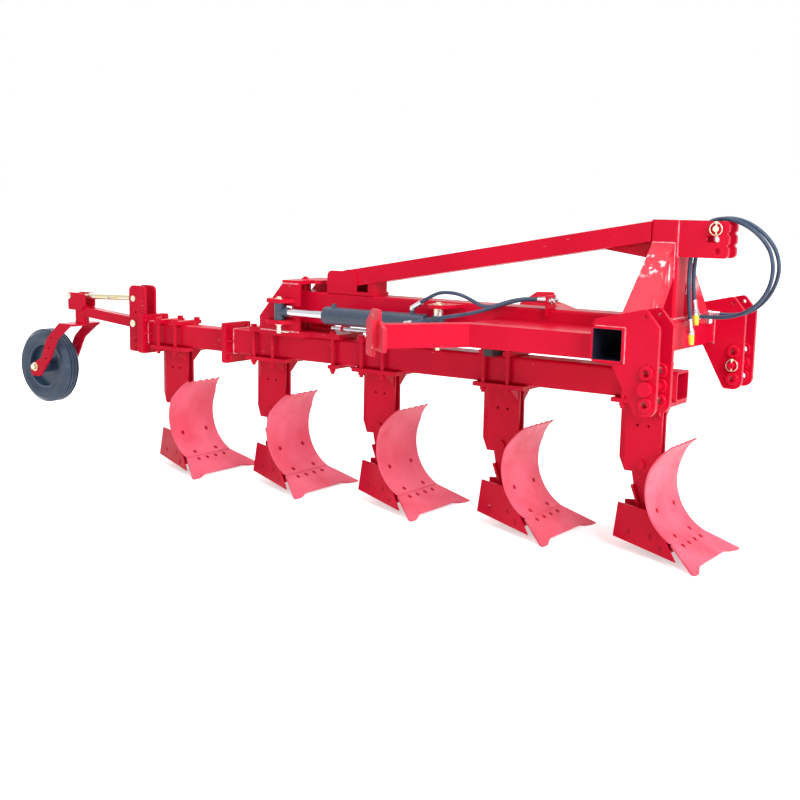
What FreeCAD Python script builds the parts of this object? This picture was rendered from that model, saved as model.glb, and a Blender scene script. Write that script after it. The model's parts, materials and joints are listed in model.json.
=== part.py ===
"""Five-body reversible plough with a swinging beam.

Frame: +X forward, towards the tractor, +Z up, origin on the ground below the middle of the
machine. The share tips stand at height zero. Places along X are given from the swing pivot.
"""
import FreeCAD, Part
import math
import os
import Sketcher

# Driving sizes in millimetres and degrees, sub-assembly by sub-assembly.
SIZES = {
    # Fits and general values
    "quarter_turn": 90, "half_turn": 180, "cut_overrun": 5, "weld_gap": 0.3, "pin_clearance": 0.05,
    "corner_share": 0.9, "slot_round_share": 0.45,
    # Plough beam: its height above ground and how far it passes the bodies
    "beam_width": 130, "beam_bottom": 672, "beam_wall": 10, "beam_corner": 14,
    "beam_ahead": 240, "flange_behind": 180,
    "extension_width": 120, "extension_wall": 8, "extension_behind": 100,
    "flange_width": 200, "flange_height": 215, "flange_drop": 54, "flange_corner": 12,
    "main_flange_thickness": 15, "rear_flange_thickness": 20,
    "flange_bolt_radius": 8, "flange_bolt_edge": 28, "flange_head_radius": 14, "flange_head_height": 10,
    "flange_rib_length": 45, "flange_rib_thickness": 8, "flange_rib_width": 25,
    # Swing pivot and fork
    "pivot_radius": 30, "pivot_journal": 16, "pivot_head_radius": 20, "pivot_head_height": 5,
    "nipple_radius": 12, "nipple_height": 8,
    "base_plate_thickness": 27, "base_plate_width": 200, "base_plate_behind": 13, "base_plate_gap": 120,
    "fork_inner": 136, "fork_plate": 15, "fork_front": 82, "fork_top_rear": -28, "fork_rear": -178,
    "fork_headroom": 40, "fork_back_height": 69, "fork_top_plate": 18, "fork_tongue_front": 140,
    "fork_tongue_width": 120, "fork_tongue_corner": 35, "fork_rib_thickness": 14,
    "extra_strap_gap": 171, "extra_strap_length": 46,
    "stop_block_ahead": 86, "stop_block_length": 54, "stop_block_height": 61, "stop_gap": 1, "swing_limit": 30,
    "rod_window_rear": -10, "rod_window_half": 27,
    # Cylinder
    "cylinder_offset": 185, "cylinder_rise": 61, "rod_pin_x": -17, "base_pin_behind": 215,
    "rod_radius": 19, "barrel_radius": 44, "barrel_bore": 37, "rod_reach": 296, "barrel_behind": 65,
    "gland_length": 45, "gland_lip": 3, "gland_lip_length": 8, "barrel_floor": 30, "piston_length": 40,
    "piston_from_gland": 150, "eye_radius": 27, "eye_height": 84, "eye_neck_radius": 24,
    "eye_neck_length": 62, "base_eye_radius": 31, "base_neck_radius": 33,
    "cylinder_pin_radius": 13.5, "rod_lug_plate": 20, "rod_lug_gap": 1.5, "rod_lug_radius": 32,
    "rod_lug_rear": -115, "rod_lug_front": 55, "rod_pin_top_head": 12, "rod_pin_tail": 48,
    "washer_radius": 24, "washer_thickness": 4, "clip_wire": 2,
    "clip_reach": 62, "clip_ring": 12,
    "base_lug_plate": 16, "base_lug_half": 93, "base_lug_behind": 87,
    "base_lug_ahead": 73, "base_lug_radius": 42, "linkage_slot": 38, "linkage_play": 4,
    "port_radius": 13, "port_height": 16, "port_front": 51, "port_rear": 82,
    # Central beam
    "spine_width": 140, "spine_lift": 41, "spine_height": 160, "spine_wall": 10, "spine_corner": 12,
    "spine_start": 20,
    # Cross tube and headstock
    "cross_size": 140, "cross_wall": 10, "cross_corner": 18, "cross_ahead": 147, "cross_rise": 85,
    "cross_half_length": 572.5,
    "mast_size": 120, "mast_wall": 10, "mast_height": 412, "mast_corner": 12, "mast_cap": 8,
    "brace_depth": 100, "brace_top_share": 0.77, "brace_inner_share": 0.413, "brace_foot_gap": 18.5,
    "brace_foot_length": 180, "brace_wall": 8,
    # Lower link brackets, from the ends and the middle line of the cross tube
    "link_inset": 90, "link_gap": 120, "link_plate": 20, "link_axis_ahead": 168, "link_axis_drop": 160,
    "link_pitch": 61, "boss_radius": 29, "boss_proud": 14, "link_bore": 14.35, "link_pin_radius": 14.2,
    "link_head_radius": 30, "link_head_height": 14, "link_pin_tail": 27,
    "link_rear_top_behind": 56, "link_rear_top_rise": 99, "link_front_top_ahead": 150, "link_front_top_rise": 147,
    "link_chamfer_ahead": 209, "link_chamfer_rise": 78, "link_foot_drop": 270, "link_foot_rear_ahead": 125,
    "link_heel_ahead": 20, "link_heel_drop": 81, "link_foot_corner": 40, "link_top_corner": 22,
    "link_small_hole_ahead": 152, "link_small_hole_rise": 118, "link_small_hole": 8,
    "linch_ring_radius": 26, "linch_wire": 2.5, "linch_pin_radius": 4.5, "linch_pin_length": 44,
    # Top link plates, from the cross tube's middle line and down from the top of the mast
    "top_plate_ahead": 276, "top_plate_height": 152, "top_plate_inner": 34, "top_plate_thickness": 20,
    "lobe_depth": 15, "top_plate_corner": 20, "lobe_corner": 12, "valley_corner": 6,
    "lobe_pitch": 50, "lobe_first_drop": 25, "lobe_half": 17,
    "top_hole_ahead": 226, "top_hole_drop": 32, "top_hole": 12.85, "top_low_hole_ahead": 230,
    "top_low_hole_drop": 122, "top_slot_ahead": 208, "top_slot_drop": 75, "top_slot_length": 57,
    "top_slot_height": 27, "top_pin_radius": 12.7, "top_pin_head_radius": 21, "top_pin_head_height": 10,
    "top_pin_tail": 24,
    # Backstay
    "stay_width": 120, "stay_depth": 85, "stay_rear_x": 262, "stay_rear_rise": 111, "stay_front_drop": 7,
    "stay_wall": 6, "stay_bracket_plate": 10, "stay_bracket_rear": 196, "stay_bracket_front": 375,
    "stay_bracket_rise": 114, "stay_bracket_corner": 28, "stay_base_front": 475, "stay_base_thickness": 15,
    "stay_foot_length": 40, "stay_gusset_length": 240, "stay_gusset_drop": 76, "stay_gusset_plate": 12,
    # Swing stop arms
    "arm_inset": 97.5, "arm_width": 75, "arm_lift": 15, "arm_height": 100, "arm_wall": 8,
    "arm_end_behind": 79, "arm_side_share": 0.7522, "arm_run_share": 0.2334,
    "stop_plate_thickness": 16, "stop_plate_inner": -190, "stop_plate_outer": 74, "stop_plate_drop": 15,
    "stop_shoulder_rise": 95, "stop_plate_ear_inner": -103, "stop_plate_ear_outer": -10, "stop_plate_height": 156,
    "stop_step_rise": 116, "stop_end_rise": 84, "stop_plate_corner": 12, "stop_foot_outer": -95,
    "stop_foot_drop": 51,
    "stop_rib_place": -22, "stop_rib_reach": 24, "stop_rib_thickness": 12,
    # Corner web plates and the hose bracket on the central beam
    "web_rear_ahead": 37, "web_rise": 86, "web_thickness": 12, "web_mouth": 70,
    "hose_bracket_plate": 8, "hose_bracket_height": 60, "hose_bracket_inner": 8,
    "hose_bracket_outer": 92,
    # Stay rod under the central beam
    "stay_rod_radius": 10, "stay_rod_rear_x": 242, "stay_rod_short": 101, "stay_rod_side": 84,
    "stay_rod_drop": 11, "stay_rod_lug": 12, "stay_rod_lug_place": 60, "stay_rod_lug_width": 40,
    "stay_rod_lug_radius": 14,
    # Plough bodies
    "body_spacing": 700, "second_body_x": -280,
    "clamp_rear": -43, "clamp_front": 224, "clamp_width": 200, "clamp_thickness": 19,
    "strap_length": 42, "strap_thickness": 22, "strap_first_x": -14, "strap_second_x": 114,
    "stud_radius": 10, "stud_side": 86, "stud_tail": 26, "nut_radius": 17, "nut_height": 14,
    "leg_front": 168, "leg_rear": -30, "leg_fold": 0, "leg_outer": 25, "leg_inner": 13, "leg_fold_edge": 11,
    "leg_plate": 12, "leg_foot": 343, "leg_foot_rear": 3, "leg_foot_front": 140, "leg_foot_rise": 56,
    "leg_foot_front_rise": 30, "leg_hole_radius": 6, "leg_hole_x": 54, "leg_hole_pitch": 52, "leg_hole_drop": 123,
    "leg_bolt_x": 78, "leg_bolt_z": 377, "leg_bolt_radius": 12, "leg_bolt_head": 21, "leg_bolt_head_height": 10,
    "gusset_drop": 66, "gusset_thickness": 10, "gusset_x": 154, "spacer_drop": 72, "spacer_front": 120,
    "frog_top": 470, "frog_top_rear": 40, "frog_top_front": 130, "frog_waist_rear": 34, "frog_waist_z": 333,
    "frog_heel_x": 92, "frog_heel_z": 62, "frog_plate_thickness": 12, "frog_deck_z": 50, "frog_deck_rear": 70,
    "wedge_thickness": 12, "wedge_width": 70, "wedge_top_x": 39, "wedge_top_z": 284, "wedge_foot_x": 78,
    "wedge_foot_z": 183,
    "board_radius": 240, "board_thickness": 8, "board_centre_z": 301, "board_centre_x": 413,
    "board_half_bottom": 169, "board_half_middle": 172, "board_shoulder_z": 400, "board_half_top": 126,
    "board_top_z": 497, "tooth_radius": 27, "tooth_depth": 9, "tooth_pitch": 50,
    "share_seam_x": 296, "share_seam_z": 88, "share_angle": 30.4, "share_thickness": 10, "share_half_tip": 273,
    "share_tip_width": 47, "share_bay_half": 150, "share_bay_depth": 31, "share_tip_corner": 7,
    "share_bay_corner": 60,
    "side_angle": 23.2, "side_lean": 8.2, "side_rear_x": -23, "side_rear_y": 57, "side_rear_z": 49,
    "side_thickness": 8, "side_height": 153, "side_length": 388, "side_drop": 24, "side_top_length": 196,
    "side_knee_length": 274, "side_knee_height": 84,
    # Rear wheel carrier, back from the rear flange and up or down from the arm's pivot
    "upright_inner": 30, "upright_plate": 15, "upright_length": 126, "upright_drop": 55, "upright_rise": 319,
    "upright_corner": 32, "upright_hole": 7, "upright_hole_reach": 75, "wheel_pivot_reach": 92,
    "wheel_pivot_rise": 103, "wheel_pivot_radius": 12, "wheel_pivot_head": 20, "wheel_pivot_head_height": 8,
    "upright_high_share": 2, "upright_middle_share": 3, "upright_low_share": 4.4,
    "screw_pivot_reach": 84, "screw_pivot_rise": 142, "screw_bolt_radius": 10, "screw_bolt_head": 17,
    "screw_bolt_head_height": 12,
    "arm_tube": 56, "arm_tube_wall": 6, "arm_tube_run": 421, "arm_tube_rise": 37, "arm_eye_radius": 28,
    "head_rear_reach": 550, "head_front_reach": 414, "head_bottom_rise": 45, "head_top_rise": 147,
    "head_plate": 12, "head_inner": 33, "head_corner": 10, "head_chamfer": 26,
    "head_bolt_reach": 532, "head_bolt_rise": 125, "head_bolt_play": 2.5,
    "turnbuckle_eye_radius": 20, "turnbuckle_eye_width": 40, "screw_radius": 11, "sleeve_radius": 17,
    "sleeve_front": 75, "sleeve_rear": 415, "screw_engagement": 60, "tommy_radius": 6,
    "tommy_length": 62, "tommy_place": 190, "thread_play": 0.05,
    "spindle_reach": 480, "spindle_sleeve_radius": 40, "spindle_bore": 24, "spindle_rise": 130,
    "sleeve_bottom_drop": 33, "spindle_cap_radius": 30, "spindle_cap_height": 8, "spindle_play": 0.05,
    "crown_rear_reach": 558, "crown_front_reach": 443, "crown_width": 200, "crown_drop": 34, "crown_thickness": 14,
    "fork_arm_thickness": 12, "fork_arm_width": 84, "fork_arm_corner": 30,
    "fork_bow_reach": 650, "fork_bow_drop": 135, "fork_neck_reach": 703, "fork_neck_drop": 255, "fork_tip_drop": 56,
    "fork_hole": 7, "fork_hole_rise_share": 2.4, "fork_neck_share": 0.7, "fork_bow_share": 0.8,
    "wheel_reach": 779, "wheel_drop": 312, "wheel_radius": 222, "wheel_width": 115, "tyre_shoulder": 26,
    "tyre_seat_radius": 138, "rim_width": 92, "rim_lip": 10, "rim_web": 12, "rim_drop": 14, "rib_depth": 5,
    "rib_width": 9, "rib_pitch_share": 2.5, "hub_radius": 40, "hub_length": 130, "axle_radius": 15,
    "axle_washer_radius": 26, "axle_nut_radius": 19, "axle_nut_height": 15, "tyre_bulge": 6,
    # Hydraulic hoses with their elbows, ferrules, couplers and caps
    "hose_radius": 8.5, "ferrule_radius": 12, "elbow_radius": 13, "elbow_drop": 34, "elbow_reach": 18,
    "elbow_rise": 9, "crimp_radius": 11.5, "crimp_length": 36, "coupler_radius": 14, "coupler_length": 30,
    "collar_radius": 17, "collar_start": 44, "collar_end": 58, "cap_radius": 13, "cap_tip_radius": 10,
    "cap_length": 42, "cap_lip_radius": 15, "cap_lip": 6, "bulkhead_nut_radius": 14, "bulkhead_nut_height": 12,
    "bulkhead_stub_radius": 9, "bulkhead_stub_length": 24, "bulkhead_ferrule": 48,
    "bend_share": 0.45,
}

# Routes of the hoses: points chosen by hand, in real millimetres. Those of the tractor hoses are from the
# middle line of the cross tube, those of the cylinder hoses from the base pin and the central beam's
# underside.
TRACTOR_ROUTES = {
    "tractor_hose_near": [
        (134, 53, 79), (199, 53, 79), (269, 49, 86), (338, 42, 111), (395, 34, 157), (433, 26, 223),
        (445, 17, 299), (429, 8, 373), (381, 0, 433), (317, -7, 475), (249, -12, 495), (183, -14, 485),
        (133, -15, 439), (111, -17, 375), (104, -20, 305), (104, -23, 229), (110, -25, 149),
        (120, -27, 71)],
    "tractor_hose_far": [
        (134, 290, 73), (191, 290, 73), (255, 268, 85), (319, 228, 117), (377, 186, 167), (419, 146, 229),
        (441, 108, 297), (435, 72, 367), (397, 44, 429), (337, 26, 475), (269, 17, 496), (201, 14, 490),
        (147, 13, 447), (123, 12, 385), (114, 12, 323), (110, 12, 263), (112, 12, 206), (119, 13, 151)],
}
CYLINDER_ROUTES = {
    "cylinder_hose_upper": [
        (-97, -185, 160), (-57, -185, 184), (-3, -184, 209), (49, -178, 214), (103, -164, 206),
        (151, -144, 182), (193, -126, 156), (243, -112, 155), (295, -90, 178), (349, -54, 194),
        (403, -30, 198), (453, -30, 198)],
    "cylinder_hose_lower": [
        (-97, -254, 69), (-47, -254, 77), (12, -254, 91), (71, -252, 105), (131, -240, 116),
        (187, -214, 128), (241, -180, 144), (295, -139, 167), (349, -98, 188), (403, -70, 198),
        (453, -70, 198)],
}


class Size:
    """A length or an angle that knows its number and the expression that gives it."""

    def __init__(self, value, text):
        self.value = float(value)
        self.text = text

    def __add__(self, other):
        return Size(self.value + number(other), "(" + self.text + " + " + words(other) + ")")

    def __sub__(self, other):
        return Size(self.value - number(other), "(" + self.text + " - " + words(other) + ")")

    def __mul__(self, other):
        return Size(self.value * number(other), "(" + self.text + " * " + words(other) + ")")

    def __truediv__(self, other):
        return Size(self.value / number(other), "(" + self.text + " / " + words(other) + ")")

    def __neg__(self):
        return Size(-self.value, "(0 - " + self.text + ")")

    def __radd__(self, other):
        return self + other

    def __rmul__(self, other):
        return self * other


def number(item):
    """The plain number of a size or a count."""
    return item.value if isinstance(item, Size) else float(item)


def words(item):
    """The expression text of a size or a count."""
    return item.text if isinstance(item, Size) else "(" + repr(item) + ")"


def cosine(angle):
    """Cosine of an angle in degrees, as a number that keeps its expression."""
    return Size(math.cos(math.radians(angle.value)), "cos(" + angle.text + ")")


def sine(angle):
    """Sine of an angle in degrees, as a number that keeps its expression."""
    return Size(math.sin(math.radians(angle.value)), "sin(" + angle.text + ")")


def tangent(angle):
    """Tangent of an angle in degrees, as a number that keeps its expression."""
    return Size(math.tan(math.radians(angle.value)), "tan(" + angle.text + ")")


def bearing(rise, run):
    """Angle of a slope in degrees, as a number that keeps its expression."""
    degrees = math.degrees(math.atan2(rise.value, run.value))
    return Size(degrees, "(atan2(" + rise.text + "; " + run.text + ") / 1 deg)")


class SizeSheet:
    """The spreadsheet of driving sizes, read by name."""

    def __init__(self, document, table):
        self.worked_out = {}
        self.sheet = document.addObject("Spreadsheet::Sheet", "Sizes")
        for row, (name, value) in enumerate(table.items(), start=1):
            self.sheet.set("A" + str(row), name)
            self.sheet.set("B" + str(row), str(value))
            self.sheet.setAlias("B" + str(row), name)
        document.recompute()

    def __getattr__(self, name):
        if name in self.worked_out:
            return self.worked_out[name]
        return Size(self.sheet.get(name), "Sizes." + name)

    def keep(self, **places):
        """Keep places that are worked out from the driving sizes under names of their own."""
        self.worked_out.update(places)


def body_place(count):
    """Place along the beam of one of the five bodies, counted from the rear."""
    return s.second_body_x + s.body_spacing * (count - 1)


def heights_from_the_beam():
    """Heights that follow the plough beam: pivot, central beam, headstock and arms."""
    s.keep(flange_bottom=s.beam_bottom - s.flange_drop, leg_hole_z=s.beam_bottom - s.leg_hole_drop,
           spacer_bottom=s.beam_bottom - s.spacer_drop, beam_top=s.beam_bottom + s.beam_width)
    s.keep(deck=s.beam_top + s.base_plate_thickness, stop_block_top=s.beam_top + s.stop_block_height)
    s.keep(spine_bottom=s.deck + s.spine_lift, fork_knee=s.deck + s.fork_back_height)
    s.keep(spine_top=s.spine_bottom + s.spine_height, cylinder_height=s.spine_bottom + s.cylinder_rise,
           stay_rod_z=s.spine_bottom - s.stay_rod_drop, arm_bottom=s.spine_bottom + s.arm_lift,
           cross_z=s.spine_bottom + s.cross_rise)
    s.keep(fork_top=s.spine_top + s.fork_headroom, stay_rear_top=s.spine_top + s.stay_rear_rise,
           stay_bracket_top=s.spine_top + s.stay_bracket_rise,
           base_lug_top=s.cylinder_height + s.base_lug_half, base_lug_bottom=s.cylinder_height - s.base_lug_half,
           web_top=s.arm_bottom + s.web_rise, cross_top=s.cross_z + s.cross_size / 2)
    s.keep(stop_plate_bottom=s.arm_bottom - s.stop_plate_drop, stop_foot_bottom=s.arm_bottom - s.stop_foot_drop,
           stop_plate_shoulder=s.arm_bottom + s.stop_shoulder_rise, stop_plate_top=s.arm_bottom + s.stop_plate_height,
           stop_plate_step=s.arm_bottom + s.stop_step_rise, stop_plate_end=s.arm_bottom + s.stop_end_rise)
    s.keep(mast_top=s.cross_top + s.mast_height, brace_top=s.cross_top + s.mast_height * s.brace_top_share,
           brace_inner_top=s.cross_top + s.mast_height * s.brace_inner_share)
    s.keep(link_axis_z=s.cross_z - s.link_axis_drop, link_rear_top_z=s.cross_z + s.link_rear_top_rise,
           link_front_top_z=s.cross_z + s.link_front_top_rise, link_chamfer_z=s.cross_z + s.link_chamfer_rise,
           link_foot_z=s.cross_z - s.link_foot_drop, link_heel_z=s.cross_z - s.link_heel_drop,
           link_small_hole_z=s.cross_z + s.link_small_hole_rise)
    s.keep(top_plate_bottom=s.mast_top - s.top_plate_height, lobe_first=s.mast_top - s.lobe_first_drop,
           top_hole_z=s.mast_top - s.top_hole_drop, top_low_hole_z=s.mast_top - s.top_low_hole_drop,
           top_slot_z=s.mast_top - s.top_slot_drop, stay_front_top=s.mast_top - s.stay_front_drop)


def places_along_the_machine():
    """Places along X and Y that follow the bodies, the cylinder's pins and the cross tube."""
    s.keep(beam_front=body_place(4) + s.beam_ahead, beam_rear=s.second_body_x - s.flange_behind,
           extension_rear=body_place(0) - s.extension_behind, cross_x=body_place(4) + s.cross_ahead,
           base_plate_rear=s.second_body_x - s.base_plate_behind, base_plate_front=body_place(2) - s.base_plate_gap,
           extra_strap_x=body_place(2) - s.extra_strap_gap, stop_block_front=body_place(3) + s.stop_block_ahead,
           web_rear_x=body_place(3) + s.web_rear_ahead, arm_end_x=body_place(3) - s.arm_end_behind)
    s.keep(arm_bend_x=s.arm_end_x + s.arm_end_x * s.arm_run_share, arm_end_y=s.arm_end_x * s.arm_side_share,
           arm_centre=s.cross_half_length - s.arm_inset, link_centre=s.cross_half_length - s.link_inset)
    s.keep(brace_foot_outer=s.link_centre - s.link_gap / 2 - s.link_plate - s.boss_proud - s.brace_foot_gap,
           base_pin_x=s.stop_block_front - s.stop_block_length - s.base_pin_behind)
    s.keep(brace_foot_inner=s.brace_foot_outer - s.brace_foot_length)
    s.keep(barrel_rear=s.base_pin_x - s.barrel_behind, base_lug_rear=s.base_pin_x - s.base_lug_behind,
           base_lug_front=s.base_pin_x + s.base_lug_ahead, stay_rod_front_x=s.base_pin_x - s.stay_rod_short)
    s.keep(barrel_front=s.rod_pin_x + s.rod_reach, port_rear_x=s.barrel_rear - s.port_rear)
    s.keep(port_front_x=s.barrel_front + s.port_front)
    s.keep(link_axis_x=s.cross_x + s.link_axis_ahead, link_rear_top_x=s.cross_x - s.link_rear_top_behind,
           link_front_top_x=s.cross_x + s.link_front_top_ahead, link_chamfer_x=s.cross_x + s.link_chamfer_ahead,
           link_foot_rear_x=s.cross_x + s.link_foot_rear_ahead, link_heel_x=s.cross_x + s.link_heel_ahead,
           link_small_hole_x=s.cross_x + s.link_small_hole_ahead, top_plate_front=s.cross_x + s.top_plate_ahead,
           top_hole_x=s.cross_x + s.top_hole_ahead, top_low_hole_x=s.cross_x + s.top_low_hole_ahead,
           top_slot_x=s.cross_x + s.top_slot_ahead)
    s.keep(top_plate_valley=s.top_plate_front - s.lobe_depth)


def places_of_the_wheel():
    """Places of the wheel carrier, back from the rear flange and from the arm's pivot."""
    face = s.extension_rear - s.rear_flange_thickness * 2
    s.keep(upright_bottom=s.beam_bottom - s.upright_drop, upright_top=s.beam_bottom + s.upright_rise,
           upright_hole_x=face - s.upright_hole_reach, wheel_pivot_x=face - s.wheel_pivot_reach,
           wheel_pivot_z=s.beam_bottom + s.wheel_pivot_rise, screw_pivot_x=face - s.screw_pivot_reach)
    s.keep(screw_pivot_z=s.wheel_pivot_z + s.screw_pivot_rise, head_bottom=s.wheel_pivot_z + s.head_bottom_rise,
           head_top=s.wheel_pivot_z + s.head_top_rise, head_bolt_z=s.wheel_pivot_z + s.head_bolt_rise,
           spindle_top=s.wheel_pivot_z + s.spindle_rise, sleeve_bottom=s.wheel_pivot_z - s.sleeve_bottom_drop,
           crown_top=s.wheel_pivot_z - s.crown_drop, fork_bow_z=s.wheel_pivot_z - s.fork_bow_drop,
           fork_neck_z=s.wheel_pivot_z - s.fork_neck_drop, wheel_z=s.wheel_pivot_z - s.wheel_drop)
    s.keep(head_rear=s.wheel_pivot_x - s.head_rear_reach, head_front=s.wheel_pivot_x - s.head_front_reach,
           head_bolt_x=s.wheel_pivot_x - s.head_bolt_reach, spindle_x=s.wheel_pivot_x - s.spindle_reach,
           crown_rear=s.wheel_pivot_x - s.crown_rear_reach, crown_front=s.wheel_pivot_x - s.crown_front_reach,
           fork_bow_x=s.wheel_pivot_x - s.fork_bow_reach, fork_neck_x=s.wheel_pivot_x - s.fork_neck_reach,
           wheel_x=s.wheel_pivot_x - s.wheel_reach)


doc = FreeCAD.newDocument("plough")
s = SizeSheet(doc, SIZES)
heights_from_the_beam()
places_along_the_machine()
places_of_the_wheel()
NODES = {}
GROUPS = {"clamps": [], "legs": [], "frogs": [], "side_plates": []}
BOUND = []
PLANES = {"XY": "XY_Plane", "XZ": "XZ_Plane", "YZ": "YZ_Plane"}
TURN = {"X": FreeCAD.Rotation(FreeCAD.Vector(0, 1, 0), 90), "Y": FreeCAD.Rotation(FreeCAD.Vector(1, 0, 0), -90),
        "Z": FreeCAD.Rotation()}

WHEEL_REACH = -s.wheel_x + s.wheel_radius
SHARE_REACH = body_place(4) + s.share_seam_x + s.share_seam_z / tangent(s.share_angle)
PIVOT_X = (WHEEL_REACH - SHARE_REACH) / 2


def bind(item, path, size):
    """Give a property its size, by expression where the size has one."""
    if isinstance(size, Size):
        item.setExpression(path, size.text)
        BOUND.append((item, path, size.value))
    elif path.startswith(".Placement.Base."):
        setattr(item.Placement.Base, path[-1], float(size))


def place(item, at, rotation=None, angle=None):
    """Put an object at a place given from the pivot, and turn it about a fixed axis."""
    turn = rotation or FreeCAD.Rotation()
    item.Placement = FreeCAD.Placement(FreeCAD.Vector(), turn)
    for letter, value in zip("xyz", (PIVOT_X + at[0], at[1], at[2])):
        bind(item, ".Placement.Base." + letter, value)
    if angle is not None:
        bind(item, ".Placement.Rotation.Angle", angle)
    return item


def node(label, item):
    """Register a finished sub-part under its name."""
    item.Label = label
    NODES[label] = item
    return item


def corner_points(points):
    """The plain numbers of an outline: place and corner radius of each point."""
    return [(number(p[0]), number(p[1]), number(p[2]) if len(p) > 2 else 0.0) for p in points]


def draw_outline(sketch, points):
    """Draw a closed outline with rounded corners, each point held at its own sizes."""
    plain = corner_points(points)
    count = len(plain)
    area = sum(plain[i][0] * plain[(i + 1) % count][1] - plain[(i + 1) % count][0] * plain[i][1]
               for i in range(count))
    way = 1.0 if area > 0 else -1.0
    entry, leave, rounds = [], [], []
    for i, (u, v, r) in enumerate(plain):
        before, after = plain[i - 1], plain[(i + 1) % count]
        a = FreeCAD.Vector(before[0] - u, before[1] - v, 0).normalize()
        b = FreeCAD.Vector(after[0] - u, after[1] - v, 0).normalize()
        here = FreeCAD.Vector(u, v, 0)
        if r <= 0:
            entry.append(here)
            leave.append(here)
            rounds.append(None)
            continue
        half = a.getAngle(b) / 2.0
        back = r / math.tan(half)
        centre = here + (a + b).normalize() * (r / math.sin(half))
        entry.append(here + a * back)
        leave.append(here + b * back)
        turn = (here - entry[-1]).cross(leave[-1] - here).z
        rounds.append((centre, r, turn > 0))
    lines = [sketch.addGeometry(Part.LineSegment(leave[i], entry[(i + 1) % count])) for i in range(count)]
    for i, point in enumerate(points):
        before, after = lines[i - 1], lines[i]
        if rounds[i] is None:
            sketch.addConstraint(Sketcher.Constraint("Coincident", before, 2, after, 1))
            hold_point(sketch, after, 1, point)
            continue
        centre, r, left = rounds[i]
        first, last = (entry[i], leave[i]) if left else (leave[i], entry[i])
        start = math.atan2(first.y - centre.y, first.x - centre.x)
        stop = math.atan2(last.y - centre.y, last.x - centre.x)
        circle = Part.Circle(centre, FreeCAD.Vector(0, 0, 1), r)
        arc = sketch.addGeometry(Part.ArcOfCircle(circle, start, stop))
        ends = (1, 2) if left else (2, 1)
        sketch.addConstraint(Sketcher.Constraint("Tangent", before, 2, arc, ends[0]))
        sketch.addConstraint(Sketcher.Constraint("Tangent", arc, ends[1], after, 1))
        radius = sketch.addConstraint(Sketcher.Constraint("Radius", arc, r))
        bind(sketch, "Constraints[" + str(radius) + "]", point[2])
        corner = sketch.addGeometry(Part.Point(FreeCAD.Vector(plain[i][0], plain[i][1], 0)), True)
        sketch.addConstraint(Sketcher.Constraint("PointOnObject", corner, 1, before))
        sketch.addConstraint(Sketcher.Constraint("PointOnObject", corner, 1, after))
        hold_point(sketch, corner, 1, point)
    return way


def hold_point(sketch, item, end, point):
    """Hold one point of a sketch at its two sizes from the sketch's origin."""
    for kind, size in (("DistanceX", point[0]), ("DistanceY", point[1])):
        index = sketch.addConstraint(Sketcher.Constraint(kind, -1, 1, item, end, number(size)))
        if isinstance(size, Size):
            bind(sketch, "Constraints[" + str(index) + "]", size)


def draw_circle(sketch, hole):
    """Draw a round hole: place and radius."""
    centre = FreeCAD.Vector(number(hole[0]), number(hole[1]), 0)
    item = sketch.addGeometry(Part.Circle(centre, FreeCAD.Vector(0, 0, 1), number(hole[2])))
    hold_point(sketch, item, 3, hole)
    index = sketch.addConstraint(Sketcher.Constraint("Radius", item, number(hole[2])))
    bind(sketch, "Constraints[" + str(index) + "]", hole[2])


def new_sketch(body, plane):
    """A sketch on one of the origin planes of its own body."""
    sketch = body.newObject("Sketcher::SketchObject", body.Name + "_sketch")
    planes = [item for item in body.Origin.OriginFeatures if item.Role == PLANES[plane]]
    sketch.AttachmentSupport = [(planes[0], "")]
    sketch.MapMode = "FlatFace"
    return sketch


def plate(name, plane, points, depth, at, holes=(), inner=(), rotation=None, angle=None, back=False):
    """A body padded from an outline, with round holes and inner outlines left open."""
    body = doc.addObject("PartDesign::Body", name)
    sketch = new_sketch(body, plane)
    draw_outline(sketch, points)
    for hole in holes:
        draw_circle(sketch, hole)
    for outline in inner:
        draw_outline(sketch, outline)
    pad = body.newObject("PartDesign::Pad", name + "_pad")
    pad.Profile = sketch
    bind(pad, "Length", depth)
    pad.Reversed = back != (plane == "XZ")
    place(body, at, rotation, angle)
    return body


def turned(name, points, axis, at, rotation=None, angle=None):
    """A body revolved about its own axis from an outline of radius and height."""
    body = doc.addObject("PartDesign::Body", name)
    sketch = new_sketch(body, "XZ")
    draw_outline(sketch, points)
    revolution = body.newObject("PartDesign::Revolution", name + "_turn")
    revolution.Profile = sketch
    revolution.ReferenceAxis = (sketch, ["V_Axis"])
    revolution.Angle = 360
    place(body, at, rotation or TURN[axis], angle)
    return body


def rod(name, axis, radius, length, at):
    """A round bar that starts at its place and runs along an axis."""
    item = doc.addObject("Part::Cylinder", name)
    bind(item, "Radius", radius)
    bind(item, "Height", length)
    return place(item, at, TURN[axis])


def hexagon(name, axis, radius, length, at):
    """A hexagonal nut or bolt head that starts at its place and runs along an axis."""
    item = doc.addObject("Part::Prism", name)
    item.Polygon = 6
    bind(item, "Circumradius", radius)
    bind(item, "Height", length)
    return place(item, at, TURN[axis])


def box(name, length, width, height, at):
    """A rectangular block from its lowest corner."""
    item = doc.addObject("Part::Box", name)
    bind(item, "Length", length)
    bind(item, "Width", width)
    bind(item, "Height", height)
    return place(item, at)


def fuse(name, *items):
    """One solid made of several that meet."""
    item = doc.addObject("Part::MultiFuse", name)
    item.Shapes = list(items)
    item.Refine = True
    return item


def cut(name, base, *tools):
    """A solid with others taken out of it."""
    tool = tools[0] if len(tools) == 1 else fuse(name + "_tools", *tools)
    item = doc.addObject("Part::Cut", name)
    item.Base = base
    item.Tool = tool
    item.Refine = True
    return item


def common(name, first, second):
    """What two solids share."""
    item = doc.addObject("Part::Common", name)
    item.Base = first
    item.Tool = second
    item.Refine = True
    return item


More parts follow.
